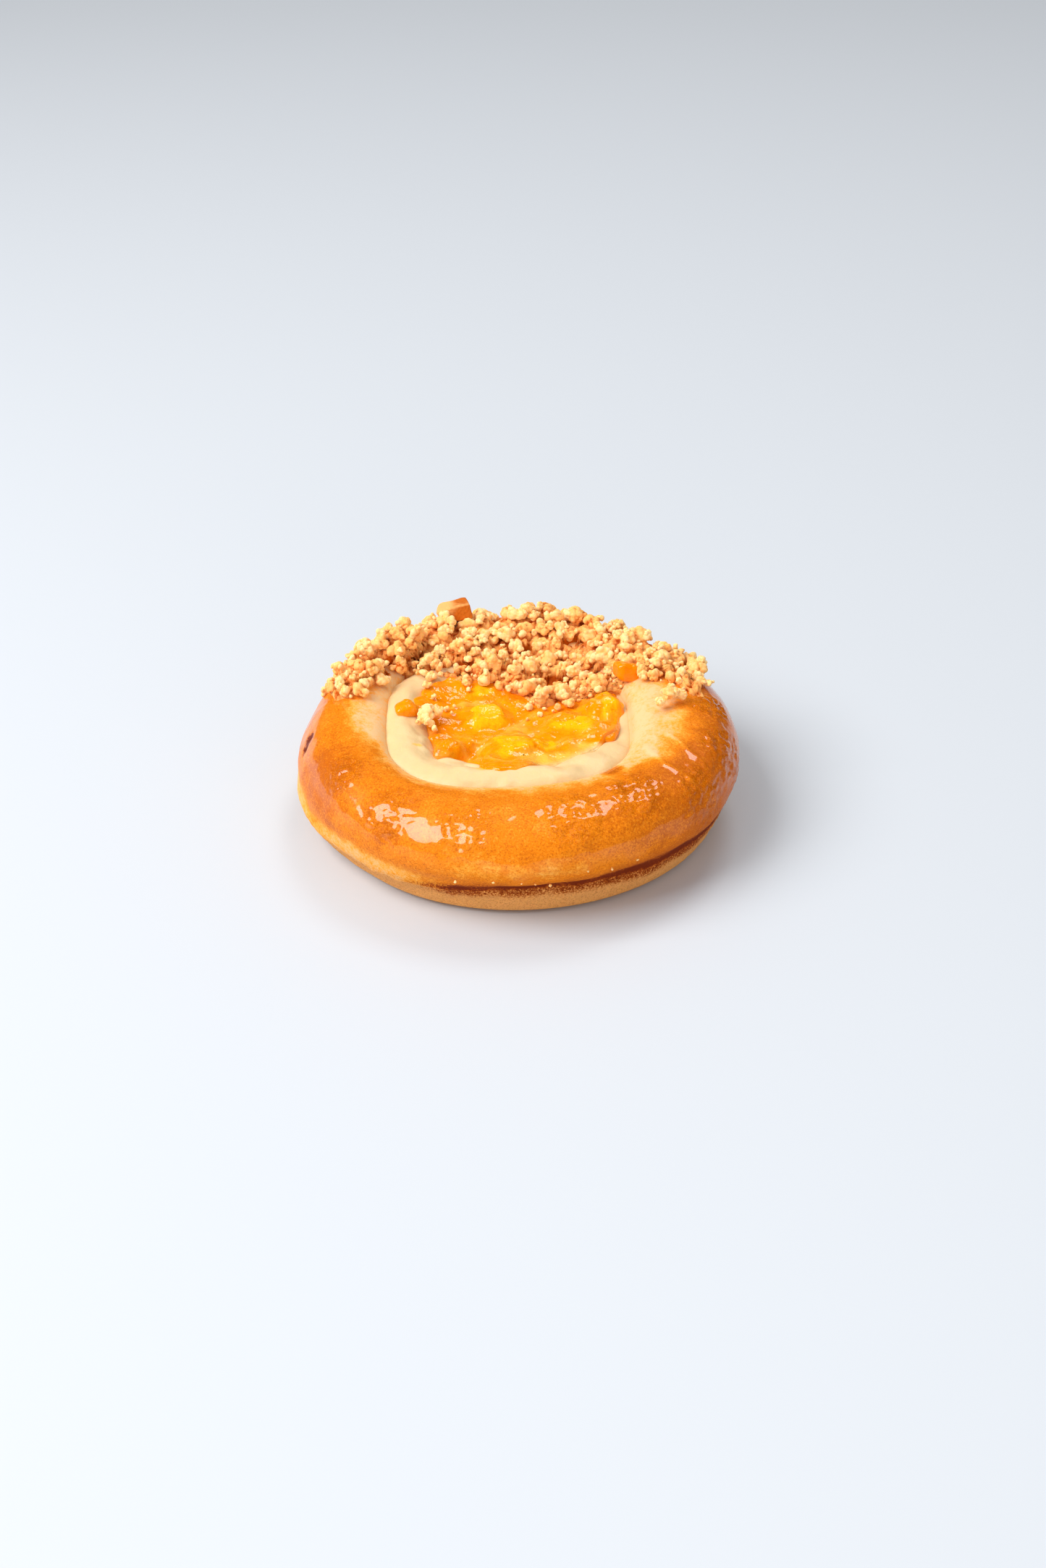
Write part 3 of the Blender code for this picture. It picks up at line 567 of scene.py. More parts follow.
def make_object(name, points, faces, attributes=None):
    """An object from points in millimetres, arrays of faces with equal sides, and values for its points."""
    mesh = bpy.data.meshes.new(name)
    sizes = np.concatenate([np.full(len(part), part.shape[1]) for part in faces])
    corners = np.concatenate([part.ravel() for part in faces])
    mesh.vertices.add(len(points))
    mesh.vertices.foreach_set("co", (points * MM).astype(np.float32).ravel())
    mesh.loops.add(len(corners))
    mesh.loops.foreach_set("vertex_index", corners.astype(np.int32))
    mesh.polygons.add(len(sizes))
    mesh.polygons.foreach_set("loop_start", (np.cumsum(sizes) - sizes).astype(np.int32))
    mesh.update(calc_edges=True)
    for key, values in (attributes or {}).items():
        made = mesh.attributes.new(key, "FLOAT", "POINT")
        made.data.foreach_set("value", np.asarray(values, np.float32).ravel())
    mesh.shade_smooth()
    made = bpy.data.objects.new(name, mesh)
    bpy.context.scene.collection.objects.link(made)
    return made


def closed_surface(name, grid, attributes=None):
    """An object from a grid whose columns run round it, its first and last rows closed to their middles."""
    rows, columns = grid.shape[:2]
    index = np.arange(rows * columns).reshape(rows, columns)
    after = np.roll(index, -1, axis=1)
    quads = np.stack([index[:-1], after[:-1], after[1:], index[1:]], axis=-1).reshape(-1, 4)
    first, last = rows * columns, rows * columns + 1
    ends = [
        np.stack([after[0], index[0], np.full(columns, first)], axis=-1),
        np.stack([index[-1], after[-1], np.full(columns, last)], axis=-1),
    ]
    points = np.concatenate([grid.reshape(-1, 3), grid[[0]].mean(axis=1), grid[[-1]].mean(axis=1)])
    padded = {}
    for key, values in (attributes or {}).items():
        padded[key] = np.concatenate([values.ravel(), values[[0]].mean(axis=1), values[[-1]].mean(axis=1)])
    return make_object(name, points, [quads, *ends], padded)


class Socket:
    """An output of a shader node, on which Python's operators add Math nodes."""

    def __init__(self, finish, socket):
        self.finish = finish
        self.socket = socket

    def maths(self, operation, *values):
        """A Math node on sockets and numbers."""
        return self.finish.node("ShaderNodeMath", {"operation": operation}, dict(enumerate(values)))

    def __add__(self, other):
        return self.maths("ADD", self, other)

    def __sub__(self, other):
        return self.maths("SUBTRACT", self, other)

    def __rsub__(self, other):
        return self.maths("SUBTRACT", other, self)

    def __mul__(self, other):
        return self.maths("MULTIPLY", self, other)

    __radd__ = __add__
    __rmul__ = __mul__

    def clamp(self):
        """Kept between 0 and 1."""
        return self.finish.node("ShaderNodeClamp", {}, {"Value": self})

    def step(self, low, high):
        """Eased step from 0 at low to 1 at high."""
        inputs = {"Value": self, "From Min": low, "From Max": high}
        return self.finish.node("ShaderNodeMapRange", {"interpolation_type": "SMOOTHSTEP"}, inputs)


class Finish:
    """A material that is built up from named nodes."""

    def __init__(self, name, **constants):
        self.material = bpy.data.materials.new(name)
        self.material.use_nodes = True
        self.tree = self.material.node_tree
        self.shader = self.tree.nodes["Principled BSDF"]
        self.set(**constants)

    def set(self, **values):
        """Feed the main shader's sockets, named with underscores for spaces."""
        for key, value in values.items():
            self.feed(self.shader.inputs[key.replace("_", " ")], value)

    def feed(self, target, value):
        """Link a socket to a node's input, or set the input's value."""
        if isinstance(value, Socket):
            self.tree.links.new(value.socket, target)
        elif isinstance(value, (tuple, list)) and target.type == "RGBA" and len(value) == 3:
            target.default_value = (*value, 1.0)
        else:
            target.default_value = value

    def node(self, kind, settings=None, inputs=None, output=0):
        """A node of a kind: its settings are set first, then the values or links of its sockets."""
        made = self.tree.nodes.new(kind)
        for key, value in (settings or {}).items():
            setattr(made, key, value)
        for key, value in (inputs or {}).items():
            self.feed(made.inputs[key], value)
        return Socket(self, made.outputs[output])

    def place(self):
        """Object coordinates in millimetres."""
        place = self.node("ShaderNodeTexCoord", output="Object")
        settings = {"operation": "SCALE"}
        return self.node("ShaderNodeVectorMath", settings, {0: place, "Scale": 1.0 / MM})

    def noise(self, place, width, detail=2.0, roughness=0.55, stretch=0.0):
        """Soft patches of a width in millimetres, with finer ones by detail and roughness."""
        inputs = {"Vector": place, "Scale": 1.0 / width, "Detail": detail, "Roughness": roughness}
        return self.node("ShaderNodeTexNoise", {}, {**inputs, "Distortion": stretch})

    def cells(self, place, width):
        """Distance from the nearest of scattered spots, in cells of a width in millimetres."""
        return self.node("ShaderNodeTexVoronoi", {"feature": "F1"}, {"Vector": place, "Scale": 1.0 / width})

    def attribute(self, name):
        """The value that the piece's mesh holds under a name."""
        return self.node("ShaderNodeAttribute", {"attribute_name": name}, output="Fac")

    def mix(self, share, first, second):
        """Mix of two colours by a share."""
        return self.node("ShaderNodeMix", {"data_type": "RGBA"}, {0: share, 6: first, 7: second}, output=2)

    def bump(self, height, distance, strength=1.0, under=None):
        """Relief from a height between 0 and 1 that stands for a distance in millimetres."""
        inputs = {"Height": height, "Distance": distance * MM, "Strength": strength}
        if under:
            inputs["Normal"] = under
        return self.node("ShaderNodeBump", {}, inputs)


def dough_finish(colours):
    """Glazed dough: pale by the well, amber to brown outside and darker on the right as painted shade, a
    browned line and a matt porous skirt.
    A fine grain makes it browner and paler from spot to spot."""
    finish = Finish("glazed_dough", Specular_IOR_Level=0.12, Coat_Roughness=0.06, Coat_IOR=1.5,
                    Subsurface_Weight=0.08, Subsurface_Radius=(0.002, 0.0008, 0.0003))
    place = finish.place()
    line = finish.attribute("line")
    skirt = finish.attribute("skirt")
    gloss = finish.attribute("gloss")
    brown_and_shade = finish.attribute("brown_and_shade")
    mottle = finish.noise(place, 4.5, 4.0, 0.6)
    fine = finish.noise(place, 0.9, 4.0, 0.8)
    grain = finish.noise(place, 0.45, 3.0, 0.8)
    amount = brown_and_shade + (mottle - 0.5) * 1.1 + (fine - 0.5) * 1.3
    amber = finish.mix(amount.step(-0.1, 0.5), colours.pale_dough[:], AMBER_DOUGH)
    golden = finish.mix(amount.step(0.3, 0.85), amber, colours.golden_dough[:])
    glazed = finish.mix(amount.step(0.8, 1.5), golden, colours.brown_dough[:])
    grained = finish.mix(grain.step(0.5, 0.66) * brown_and_shade.step(0.1, 0.9) * 0.6, glazed, REDDENED_DOUGH)
    paler = finish.mix(grain.step(0.47, 0.32) * brown_and_shade.step(0.3, 1.0) * 0.4, grained, AMBER_DOUGH)
    crust = finish.mix(grain.step(0.47, 0.66) * 0.6, colours.skirt[:], CRUST_GRAIN)
    matt = finish.mix((skirt * (1.0 + (fine - 0.5) * 1.6)).clamp(), paler, crust)
    rough = (grain - 0.5) * 2.4 + (fine - 0.5) * 1.4
    edge = (line * 1.65 + rough * line.step(0.02, 0.3)).clamp()
    reddened = finish.mix(edge.step(0.0, 0.55), matt, REDDENED_DOUGH)
    finish.set(Base_Color=finish.mix(edge.step(0.45, 1.1), reddened, colours.dark_line[:]))
    finish.set(Coat_Weight=gloss * 0.9)
    sparkle = finish.attribute("crinkle")
    finish.set(Roughness=0.75 - gloss * 0.3 - sparkle * 0.25)
    relief = finish.bump(finish.noise(place, 0.6, 4.0, 0.75), 0.5, skirt + 0.05)
    relief = finish.bump(finish.noise(place, 1.5, 4.0, 0.65, 1.2) * sparkle, 0.9, 0.7, relief)
    finish.set(Normal=finish.bump(fine, 0.16, 0.35, relief))
    return finish.material


def cream_finish(colours):
    """Cream cheese: pale, soft and nearly smooth, stained by jam in a few places."""
    finish = Finish("soft_cream_cheese", Roughness=0.42, Specular_IOR_Level=0.35,
                    Subsurface_Weight=0.3, Subsurface_Radius=(0.004, 0.0026, 0.0012))
    place = finish.place()
    cloud = finish.noise(place, 5.0, 3.0)
    tint = finish.mix(cloud.step(0.45, 0.8) * 0.4, colours.cream[:], colours.pale_dough[:])
    finish.set(Base_Color=finish.mix(finish.attribute("stain"), tint, colours.fruit[:]))
    finish.set(Normal=finish.bump(finish.noise(place, 2.2, 3.0), 0.4, 0.5))
    return finish.material


def jam_finish(colours):
    """Jam: a glossy clear gel, yellow over fruit and deep orange between, with painted shade under the
    crumbs' edge, pale veins of cream cheese and a painted reflection on one flat spot.
    """
    finish = Finish("glossy_fruit_jam", Roughness=0.07, Specular_IOR_Level=0.5,
                    Subsurface_Weight=0.3, Subsurface_Radius=(0.006, 0.0025, 0.0004))
    place = finish.place()
    cloud = finish.noise(place, 3.2, 4.0, 0.6, 0.3)
    yellow = (finish.attribute("yellow") + (cloud - 0.5) * 1.3).step(-0.1, 1.0)
    deep_and_shade = (finish.attribute("deep_and_shade") + (0.5 - cloud) * 1.2).step(0.0, 1.1)
    colour = finish.mix(yellow, colours.jam[:], colours.fruit[:])
    colour = finish.mix(deep_and_shade, colour, DEEP_JAM)
    pulp = finish.noise(place, 1.1, 4.0, 0.75, 0.6)
    colour = finish.mix(pulp.step(0.5, 0.68) * 0.55, colour, DEEP_JAM)
    colour = finish.mix(pulp.step(0.45, 0.3) * 0.4, colour, colours.fruit[:])
    colour = finish.mix(finish.attribute("film") * 0.85, colour, FILM_COLOUR)
    colour = finish.mix(finish.attribute("vein"), colour, VEIN_COLOUR)
    colour = finish.mix(finish.attribute("pale"), colour, colours.cream[:])
    finish.set(Base_Color=colour)
    slow = finish.bump(finish.noise(place, 2.2, 1.0, 0.5), 0.9, 0.5)
    finish.set(Normal=finish.bump(finish.noise(place, 0.8, 1.0, 0.5), 0.25, 0.6, slow))
    return finish.material


def fruit_finish(colours):
    """Fruit pieces: bright, wet and slightly fibrous, from yellow to deep orange."""
    finish = Finish("wet_fruit", Roughness=0.07, Specular_IOR_Level=0.6,
                    Subsurface_Weight=0.3, Subsurface_Radius=(0.005, 0.0024, 0.0004))
    place = finish.place()
    cloud = finish.noise(place, 2.6, 3.0)
    depth = finish.attribute("depth") + (cloud - 0.5) * 0.7
    colour = finish.mix(depth.step(0.0, 0.7), colours.fruit[:], colours.jam[:])
    finish.set(Base_Color=finish.mix(depth.step(0.6, 1.3), colour, DEEP_JAM))
    slow = finish.bump(finish.noise(place, 1.8, 1.0, 0.5), 0.6, 0.6)
    finish.set(Normal=finish.bump(finish.noise(place, 0.6, 2.0, 0.6), 0.2, 0.7, slow))
    return finish.material


def crumb_finish(colours):
    """Butter crumbs: matt and granular, each crumb a little paler or browner, darker with painted shade in
    creases, hollows and low in the heap.
    """
    finish = Finish("butter_streusel", Roughness=0.75, Specular_IOR_Level=0.15, Subsurface_Weight=0.45,
                    Subsurface_Radius=(0.0035, 0.0018, 0.0006))
    place = finish.place()
    mottle = finish.noise(place, 1.2, 4.0, 0.7)
    amount = finish.attribute("tint") + (mottle - 0.5) * 0.6
    pale = finish.mix(amount.step(0.0, 0.8), PALE_CRUMB, colours.crumb[:])
    finish.set(Base_Color=finish.mix(amount.step(0.8, 1.5), pale, SHADED_CRUMB))
    finish.set(Normal=finish.bump(finish.noise(place, 0.35, 3.0, 0.65), 0.15, 0.6))
    return finish.material


def biscuit_finish(colours):
    """Biscuit piece: warm tan and matt, darker at one edge."""
    finish = Finish("biscuit_piece", Roughness=0.75, Subsurface_Weight=0.15,
                    Subsurface_Radius=(0.002, 0.001, 0.0004), Specular_IOR_Level=0.3)
    place = finish.place()
    amount = finish.attribute("darker_lower_right") + (finish.noise(place, 1.2, 4.0, 0.6) - 0.5) * 0.5
    finish.set(Base_Color=finish.mix(amount.step(0.2, 0.9), colours.biscuit[:], colours.brown_dough[:]))
    relief = finish.bump(finish.cells(place, 0.7), 0.2, 0.6)
    finish.set(Normal=finish.bump(finish.noise(place, 0.3, 3.0), 0.12, 0.5, relief))
    return finish.material


def finish_piece(piece, material, slot, *nodes):
    """Give a piece its material, attach it to the root body, and hide the CAD nodes it stands for. The slot
    is not used.
    """
    piece.data.materials.append(material)
    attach(piece, "root")
    if nodes:
        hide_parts(*nodes)


def crumb_material(colours):
    """The crumbs' finish, made once for all pieces of crumbs."""
    return bpy.data.materials.get("butter_streusel") or crumb_finish(colours)


def dough_surface():
    """The dough on a grid: a section blended round the bun, with slow waves added to its ring.
    The side's waves grow as the sine of half a turn times the height's share, and the top's as its square."""
    angles = np.arange(BUN_COLUMNS) * 2 * math.pi / BUN_COLUMNS
    keys = []
    for share, *sizes in DOUGH_SECTION:
        tables = [np.column_stack([DOUGH_STATIONS, part]) for part in np.array(sizes).T]
        radius, height = (around(angles, table) for table in tables)
        level = min(1.0, height.mean() / RING_HEIGHT) if share < 1 else 0.0
        radius = radius + lump(angles, RING_SIDE_WAVES, RING_LUMP) * math.sin(math.pi * level)
        height = height + lump(angles, RING_TOP_WAVES, RING_LUMP) * level**2
        keys.append(place(angles, radius, height, share))
    base = [keys[0] * (share, share, 1) for share in BASE_RINGS]
    well = [place(angles, r, z, 1.0) for r, z in WELL_SECTION]
    return np.concatenate([base, spline(np.array(keys), BUN_STEPS), well])


def browned_line(grid, angles):
    """The browned line round the bun: how dark it is and its strength, from 0 to 1, and its middle's height.
    It is a bell of the height, wider above its middle, with a fainter tail below."""
    z = grid[..., 2]
    middle = around(angles, LINE_HEIGHT) + 0.6 * noise(grid, 6.0, 9)
    strength = around(angles, LINE_STRENGTH)
    line = bell(z, middle, np.where(z > middle, around(angles, LINE_SPREAD), LINE_SPREAD_BELOW))
    tail = LINE_TAIL * bell(z, middle - 1.4, 2.0) * (z < middle)
    line = np.maximum(line, tail) * strength * (0.9 + 0.35 * noise(grid, 3.5, 12))
    line = line * (np.hypot(grid[..., 0], grid[..., 1]) > LINE_FROM_RADIUS)
    rough = 1.0 + BURN_ROUGHNESS * noise(grid, 1.1, 31)
    for *spot, reach in BURNS:
        line += spot_share(grid, spot, reach, 0.1, rough)
    return np.clip(line, 0, 1), strength, middle


def bun_colour(grid):
    """Values from 0 to 1 for the dough's points: browned and painted shade, in the line, on the skirt,
    crinkled and glossy.
    The dough is pale round the well, and paler low down at the front and the left."""
    x, y, z = np.moveaxis(grid, -1, 0)
    angles = np.arctan2(y, x)
    radius = np.hypot(x, y)
    cloud = noise(grid, 7.0, 3) * 0.6 + noise(grid, 2.6, 4) * 0.4
    drift = cloud * CLOUD_REACH
    pale_to = around(angles, PALE_REACH)
    inner = 0.95 * smooth(radius + drift, pale_to - PALE_FADE, pale_to + PALE_FADE)
    inner = inner + 0.05 * smooth(radius, 31.0, 34.0)
    low_left = around(angles, LEFT_PALENESS) * (1.0 - smooth(z + cloud * 1.8, 11.5, 16.5))
    on_top = (z > SHOULDER_HEIGHT) | (radius < SHOULDER_RADIUS)
    # The side's brownness is partly painted shade: darker on the right, away from the window
    brown_and_shade = np.where(on_top, inner, 1.0) * (1.0 - low_left) * around(angles, SIDE_BROWN_AND_SHADE)
    brown_and_shade = brown_and_shade - around(angles, FRONT_PALENESS) * (1.0 - smooth(z, 16.0, 22.0))
    for *spot, reach, amount in BROWN_SPOTS:
        brown_and_shade += amount * spot_share(grid, spot, reach, 0.3)
    brown_and_shade -= CREASE_PALENESS * crease_share(x, y)
    line, strength, middle = browned_line(grid, angles)
    brown_and_shade = brown_and_shade + 0.7 * strength * bell(z, middle + 1.5, 4.0)
    skirt = (1.0 - smooth(z, middle - 1.4, middle - 0.2)) * (radius > SKIRT_FROM_RADIUS)
    low_glaze = around(angles, LOW_GLAZE) * smooth(z + drift, 9.0, 17.0)
    glazed = np.maximum(smooth(z + drift, 15.0, 24.0), low_glaze)
    gloss = (1.0 - skirt) * smooth(brown_and_shade, -0.1, 0.6) * glazed * (1.0 - line)
    return brown_and_shade, line, skirt, crinkled(grid), gloss


def crinkled(grid):
    """Where the glazed skin is crinkled, from 0 to 1: the sum of soft spots."""
    total = np.full(grid.shape[:2], CRINKLE_EVERYWHERE)
    for *spot, reach in CRINKLES:
        total += spot_share(grid, spot, reach, 0.35)
    return np.clip(total, 0.0, 1.0)


def crease_share(x, y):
    """1 on the dough's raised creases and 0 away from them."""
    return bell(np.min([line_distance(x, y, points) for points in CREASES], axis=0), 0.0, CREASE_WIDTH)


def make_bun(sizes, colours):
    """The glazed bun, moved along the surface's normals by fine waves, wrinkles where the skin is crinkled,
    pores on the skirt, raised creases and a filling of the waist at the left."""
    grid = dough_surface()
    x, y, z = np.moveaxis(grid, -1, 0)
    angles = np.arctan2(y, x)
    brown_and_shade, line, skirt, crinkle, gloss = bun_colour(grid)
    shown = smooth(z, 0.5, 4.0) * smooth(np.hypot(x, y), 32.0, 38.0)
    wave = 0.22 * noise(grid, 8.0, 21) + 0.10 * noise(grid, 3.4, 22)
    wrinkle = sizes.wrinkle / MM * crinkle * (folds(grid, 2.8, 23) + folds(grid, 1.5, 24))
    porous = skirt * (0.22 * noise(grid, 1.9, 25) + 0.12 * noise(grid, 0.9, 26))
    crease = CREASE_HEIGHT * crease_share(x, y) * (z > 20.0)
    fill = around(angles, WAIST_FILL) * bell(z, WAIST_HEIGHT, 2.4)
    offset = (wave + wrinkle + porous + fill + crease - LINE_DEPTH * line - SKIN_INSET) * shown
    grid = grid + grid_normals(grid) * offset[..., None]
    values = {"brown_and_shade": brown_and_shade, "line": line, "skirt": skirt, "crinkle": crinkle, "gloss": gloss}
    piece = closed_surface("bun", grid, values)
    finish_piece(piece, dough_finish(colours), "dough", "dough")


def cream_keys(angles):
    """Radius and height of the cream's top, from the well's wall to the middle, at angles."""
    bare = around(angles, BARE_WALL)[:, None]
    sections = zip(CREAM_SWOLLEN, CREAM_BARE)
    keys = np.array([np.array(full) * (1 - bare) + np.array(low) * bare for full, low in sections])
    keys[2:5, :, 1] += lump(angles, CREAM_WAVES, CREAM_LUMP)
    return keys


def cream_height(angles, radius):
    """Height of the cream's top at a radius, in the well's own outline, from its centre."""
    keys = cream_keys(angles)[:0:-1]
    return np.array([np.interp(r, keys[:, k, 0], keys[:, k, 1]) for k, r in enumerate(radius)])


def patch_sum(x, y, patches):
    """How much points lie in some soft oval patches, from 0 to 1, and the patches' rise there.
    Each fades from 1 at its middle to 0 at its edge by an eased step of its oval distance."""
    share = np.zeros_like(x)
    rise = np.zeros_like(x)
    for cx, cy, across, along, height in patches:
        wave = 0.18 * np.sin(3 * np.arctan2(y - cy, x - cx) + cx)
        away = np.hypot((x - cx) / across, (y - cy) / along) + wave
        inside = 1.0 - smooth(away, 0.45, 1.1)
        share = np.maximum(share, inside)
        rise += height * inside
    return share, rise


def line_distance(x, y, points):
    """Distance of points from a line through given points, in millimetres."""
    best = np.full(x.shape, 1e3)
    for (ax, ay), (bx, by) in zip(points, points[1:]):
        dx, dy = bx - ax, by - ay
        share = np.clip(((x - ax) * dx + (y - ay) * dy) / (dx * dx + dy * dy), 0.0, 1.0)
        best = np.minimum(best, np.hypot(x - ax - share * dx, y - ay - share * dy))
    return best


def make_cream(sizes, colours):
    """The cream cheese: up the well's wall, over a swollen rim that meets the dough, and down under the jam.
    Noise moves its free part along its normals, and it rises where it has swollen inwards."""
    angles = np.arange(CREAM_COLUMNS) * 2 * math.pi / CREAM_COLUMNS
    under = [place(angles, r - GAP, z + GAP, 1.0) for r, z in reversed(WELL_SECTION)]
    keys = cream_keys(angles)
    keys[:len(CREAM_SPREAD), :, 0] += np.array(CREAM_SPREAD)[:, None] * around(angles, CREAM_WIDENING)
    top = [place(angles, ring[:, 0], ring[:, 1], 1.0) for ring in spline(keys, CREAM_STEPS)]
    grid = np.array(under + top)
    lumps = sizes.cream_swell / MM * (noise(grid, 5.5, 31) + 0.4 * noise(grid, 2.6, 32))
    free = smooth(grid[..., 2], 20.0, 23.5)
    grid = grid + grid_normals(grid) * (lumps * free)[..., None]
    x, y = grid[..., 0], grid[..., 1]
    upper = np.arange(len(grid))[:, None] >= len(under)
    grid[..., 2] += patch_sum(x, y, CREAM_SWELLS)[1] * upper
    stain = patch_sum(x, y, STAINS)[0] * 0.7
    piece = closed_surface("cream", grid, {"stain": stain})
    finish_piece(piece, cream_finish(colours), "cream_cheese", "cream_cheese")


def chunk_lift(x, y, height):
    """Height of the jam once it has crept up the sides of the fruit pieces.
    Round a piece the distance is that of a rounded square: (|u|^3 + |v|^3)^(1/3) in half sizes."""
    for (cx, cy, cz), (width, depth, tall), turn in CHUNKS[:CHUNKS_IN_JAM]:
        bend = math.radians(turn[2])
        u = (x - cx) * math.cos(bend) + (y - cy) * math.sin(bend)
        v = (y - cy) * math.cos(bend) - (x - cx) * math.sin(bend)
        away = ((np.abs(u) / (width / 2)) ** 3 + (np.abs(v) / (depth / 2)) ** 3) ** (1 / 3)
        beside = 1.0 - smooth(away, *CREEP_REACH)
        height = height + beside * np.maximum(0.0, cz + tall * CREEP_SHARE - height)
    return height


def jam_rings(angles):
    """The jam's rings, under it and then over it from its edge to its middle, and the top rings' shares.
    A top ring's height goes from the cream's at the edge to the middle's by the square of its share."""
    bare = around(angles, BARE_WALL)
    reach = around(angles, JAM_REACH) + JAM_SPREAD * bare + lump(angles, JAM_EDGE_WAVES, JAM_FRAY)
    edge = cream_height(angles, reach)
    rings = []
    for share in JAM_UNDER_SHARES:
        rings.append(place(angles, reach * share, cream_height(angles, reach * share) - JAM_DEPTH, 1.0))
    shares, rises = np.array(JAM_TOP).T
    top_shares = 1.0 - np.linspace(0.0, 1.0, JAM_ROWS) ** 1.3 * 0.99
    for share in top_shares:
        lean = share**2
        height = edge * lean + JAM_CENTRE_HEIGHT * (1 - lean) + np.interp(share, shares[::-1], rises[::-1])
        height = height + lump(angles, JAM_TOP_WAVES, JAM_LUMP) * share * (1 - share) * 4
        rings.append(place(angles, reach * share, height, 1.0))
    return np.array(rings), top_shares


def make_jam(sizes, colours):
    """The jam: a lumpy sheet from the cream's edge to the middle, lifted where it meets the fruit.
    Its edge dips into the cream. Fruit rises under it in patches, and thin folds carry veins of cream."""
    angles = np.arange(JAM_COLUMNS) * 2 * math.pi / JAM_COLUMNS
    grid, top_shares = jam_rings(angles)
    under = len(JAM_UNDER_SHARES)
    top = np.zeros(grid.shape[:2])
    top[under:] = smooth(np.arange(JAM_ROWS), 0.0, JAM_EDGE_ROWS)[:, None]
    outer = np.zeros(grid.shape[:2])
    outer[under:] = smooth(top_shares, 0.84, 0.99)[:, None]
    x, y, z = np.moveaxis(grid, -1, 0)
    warp_x = x + 1.2 * noise(grid, 4.0, 46) + 0.5 * noise(grid, 1.7, 43)
    warp_y = y + 1.2 * noise(grid, 4.0, 47) + 0.5 * noise(grid, 1.7, 44)
    yellow, rise = patch_sum(warp_x, warp_y, YELLOW_PATCHES)
    # Deep patches hold painted shade under the crumbs' edge as well as deep orange jam
    deep_and_shade, low = patch_sum(warp_x, warp_y, DEEP_AND_SHADE_PATCHES)
    # The middle peach patch is a painted reflection; it shows through the vein value
    peach_and_sheen, dent = patch_sum(warp_x, warp_y, PEACH_AND_SHEEN_PATCHES)
    film = patch_sum(warp_x, warp_y, FILM_PATCHES)[0]
    away = np.min([line_distance(warp_x, warp_y, points) for points in VEINS], axis=0)
    vein = bell(away, 0.0, VEIN_WIDTH) * np.clip(0.6 + 0.6 * noise(grid, 2.8, 48), 0.0, 1.0)
    lumps = sizes.jam_swell / MM * (noise(grid, 4.2, 41) + 0.5 * noise(grid, 1.9, 42))
    sag = film * np.interp(np.hypot(x - WELL_CENTRE[0], y - WELL_CENTRE[1]), *FILM_SAG)
    lifted = chunk_lift(x, y, z) + lumps * (1.0 - 0.6 * film) + rise + low + dent + VEIN_HEIGHT * vein - sag
    grid[..., 2] = z + top * (lifted - z)
    values = {
        "vein": 0.6 * np.maximum(vein, peach_and_sheen) * top, "deep_and_shade": deep_and_shade, "yellow": yellow, "film": film,
        "pale": outer * np.clip(film * 1.1 + 0.25 * noise(grid, 3.0, 49), 0.0, 0.9),
    }
    piece = closed_surface("jam", grid, values)
    finish_piece(piece, jam_finish(colours), "fruit_jam", "fruit_jam")


def chunk_corners():
    """The shifted corners of each chunk, in shares of its size, drawn as the solids' corners were."""
    rng = np.random.default_rng(CHUNK_SEED)
    square = np.array(list(np.ndindex(2, 2, 2))) - 0.5
    return [square + rng.uniform(-0.5, 0.5, (8, 3)) * CHUNK_UNEVEN for _ in range(len(CHUNKS) + 1)]


def chunk_grid(corners, spot, size, turn, seed, sharpness=0.6, rough=0.2):
    """A piece cut roughly square: a ball whose sines and cosines are raised to a power, which squares it,
    bent so that its eight corners reach the shifted corners, roughened along its normals and turned."""
    tilt = np.linspace(-POLE_TILT, POLE_TILT, CHUNK_ROWS)[:, None] * math.pi
    turned = np.linspace(0, 2 * math.pi, CHUNK_COLUMNS, endpoint=False)[None, :]

    def squared(value):
        return np.sign(value) * np.abs(value) ** sharpness

    ball = np.stack([
        squared(np.cos(tilt)) * squared(np.cos(turned)),
        squared(np.cos(tilt)) * squared(np.sin(turned)),
        squared(np.sin(tilt)) * np.ones_like(turned),
    ], axis=-1)
    share = (ball + 1) / 2
    points = np.zeros_like(ball)
    for corner, end in zip(np.ndindex(2, 2, 2), corners):
        points += np.where(corner, share, 1 - share).prod(axis=-1, keepdims=True) * end
    points *= np.array(size)
    amount = rough * (noise(points, 2.2, seed) + 0.6 * noise(points, 1.0, seed + 1))
    points = points + grid_normals(points) * amount[..., None]
    matrix = np.array(Euler([math.radians(a) for a in turn]).to_matrix())
    return points @ matrix.T + np.array(spot)


def make_fruit(colours):
    """The fruit pieces, each a wet uneven block in its own place."""
    material = fruit_finish(colours)
    corners = chunk_corners()
    for number, (ends, chunk, depth) in enumerate(zip(corners, CHUNKS, FRUIT_DEPTH), start=1):
        grid = chunk_grid(ends, *chunk, 50 + number)
        piece = closed_surface(f"fruit_{number}", grid, {"depth": np.full(grid.shape[:2], depth)})
        finish_piece(piece, material, "fruit_chunk", f"fruit_chunk_{number}")


def make_biscuit(colours):
    """The browner baked piece on top of the heap, flat and angular, darker at its right end and low down."""
    (x, _, z), *_ = BISCUIT_CHUNK
    grid = chunk_grid(chunk_corners()[-1], *BISCUIT_CHUNK, 61, BISCUIT_SHARPNESS, BISCUIT_ROUGHNESS)
    grid[..., 2] = z - 0.5 + (grid[..., 2] - z) * 0.8
    darker_lower_right = 1.3 * smooth(grid[..., 0] - x, -2.5, 1.5) * smooth(z + 2.6 - grid[..., 2], 0.0, 1.5)
    piece = closed_surface("biscuit", grid, {"darker_lower_right": darker_lower_right})
    finish_piece(piece, biscuit_finish(colours), "biscuit_chunk", "biscuit_chunk")


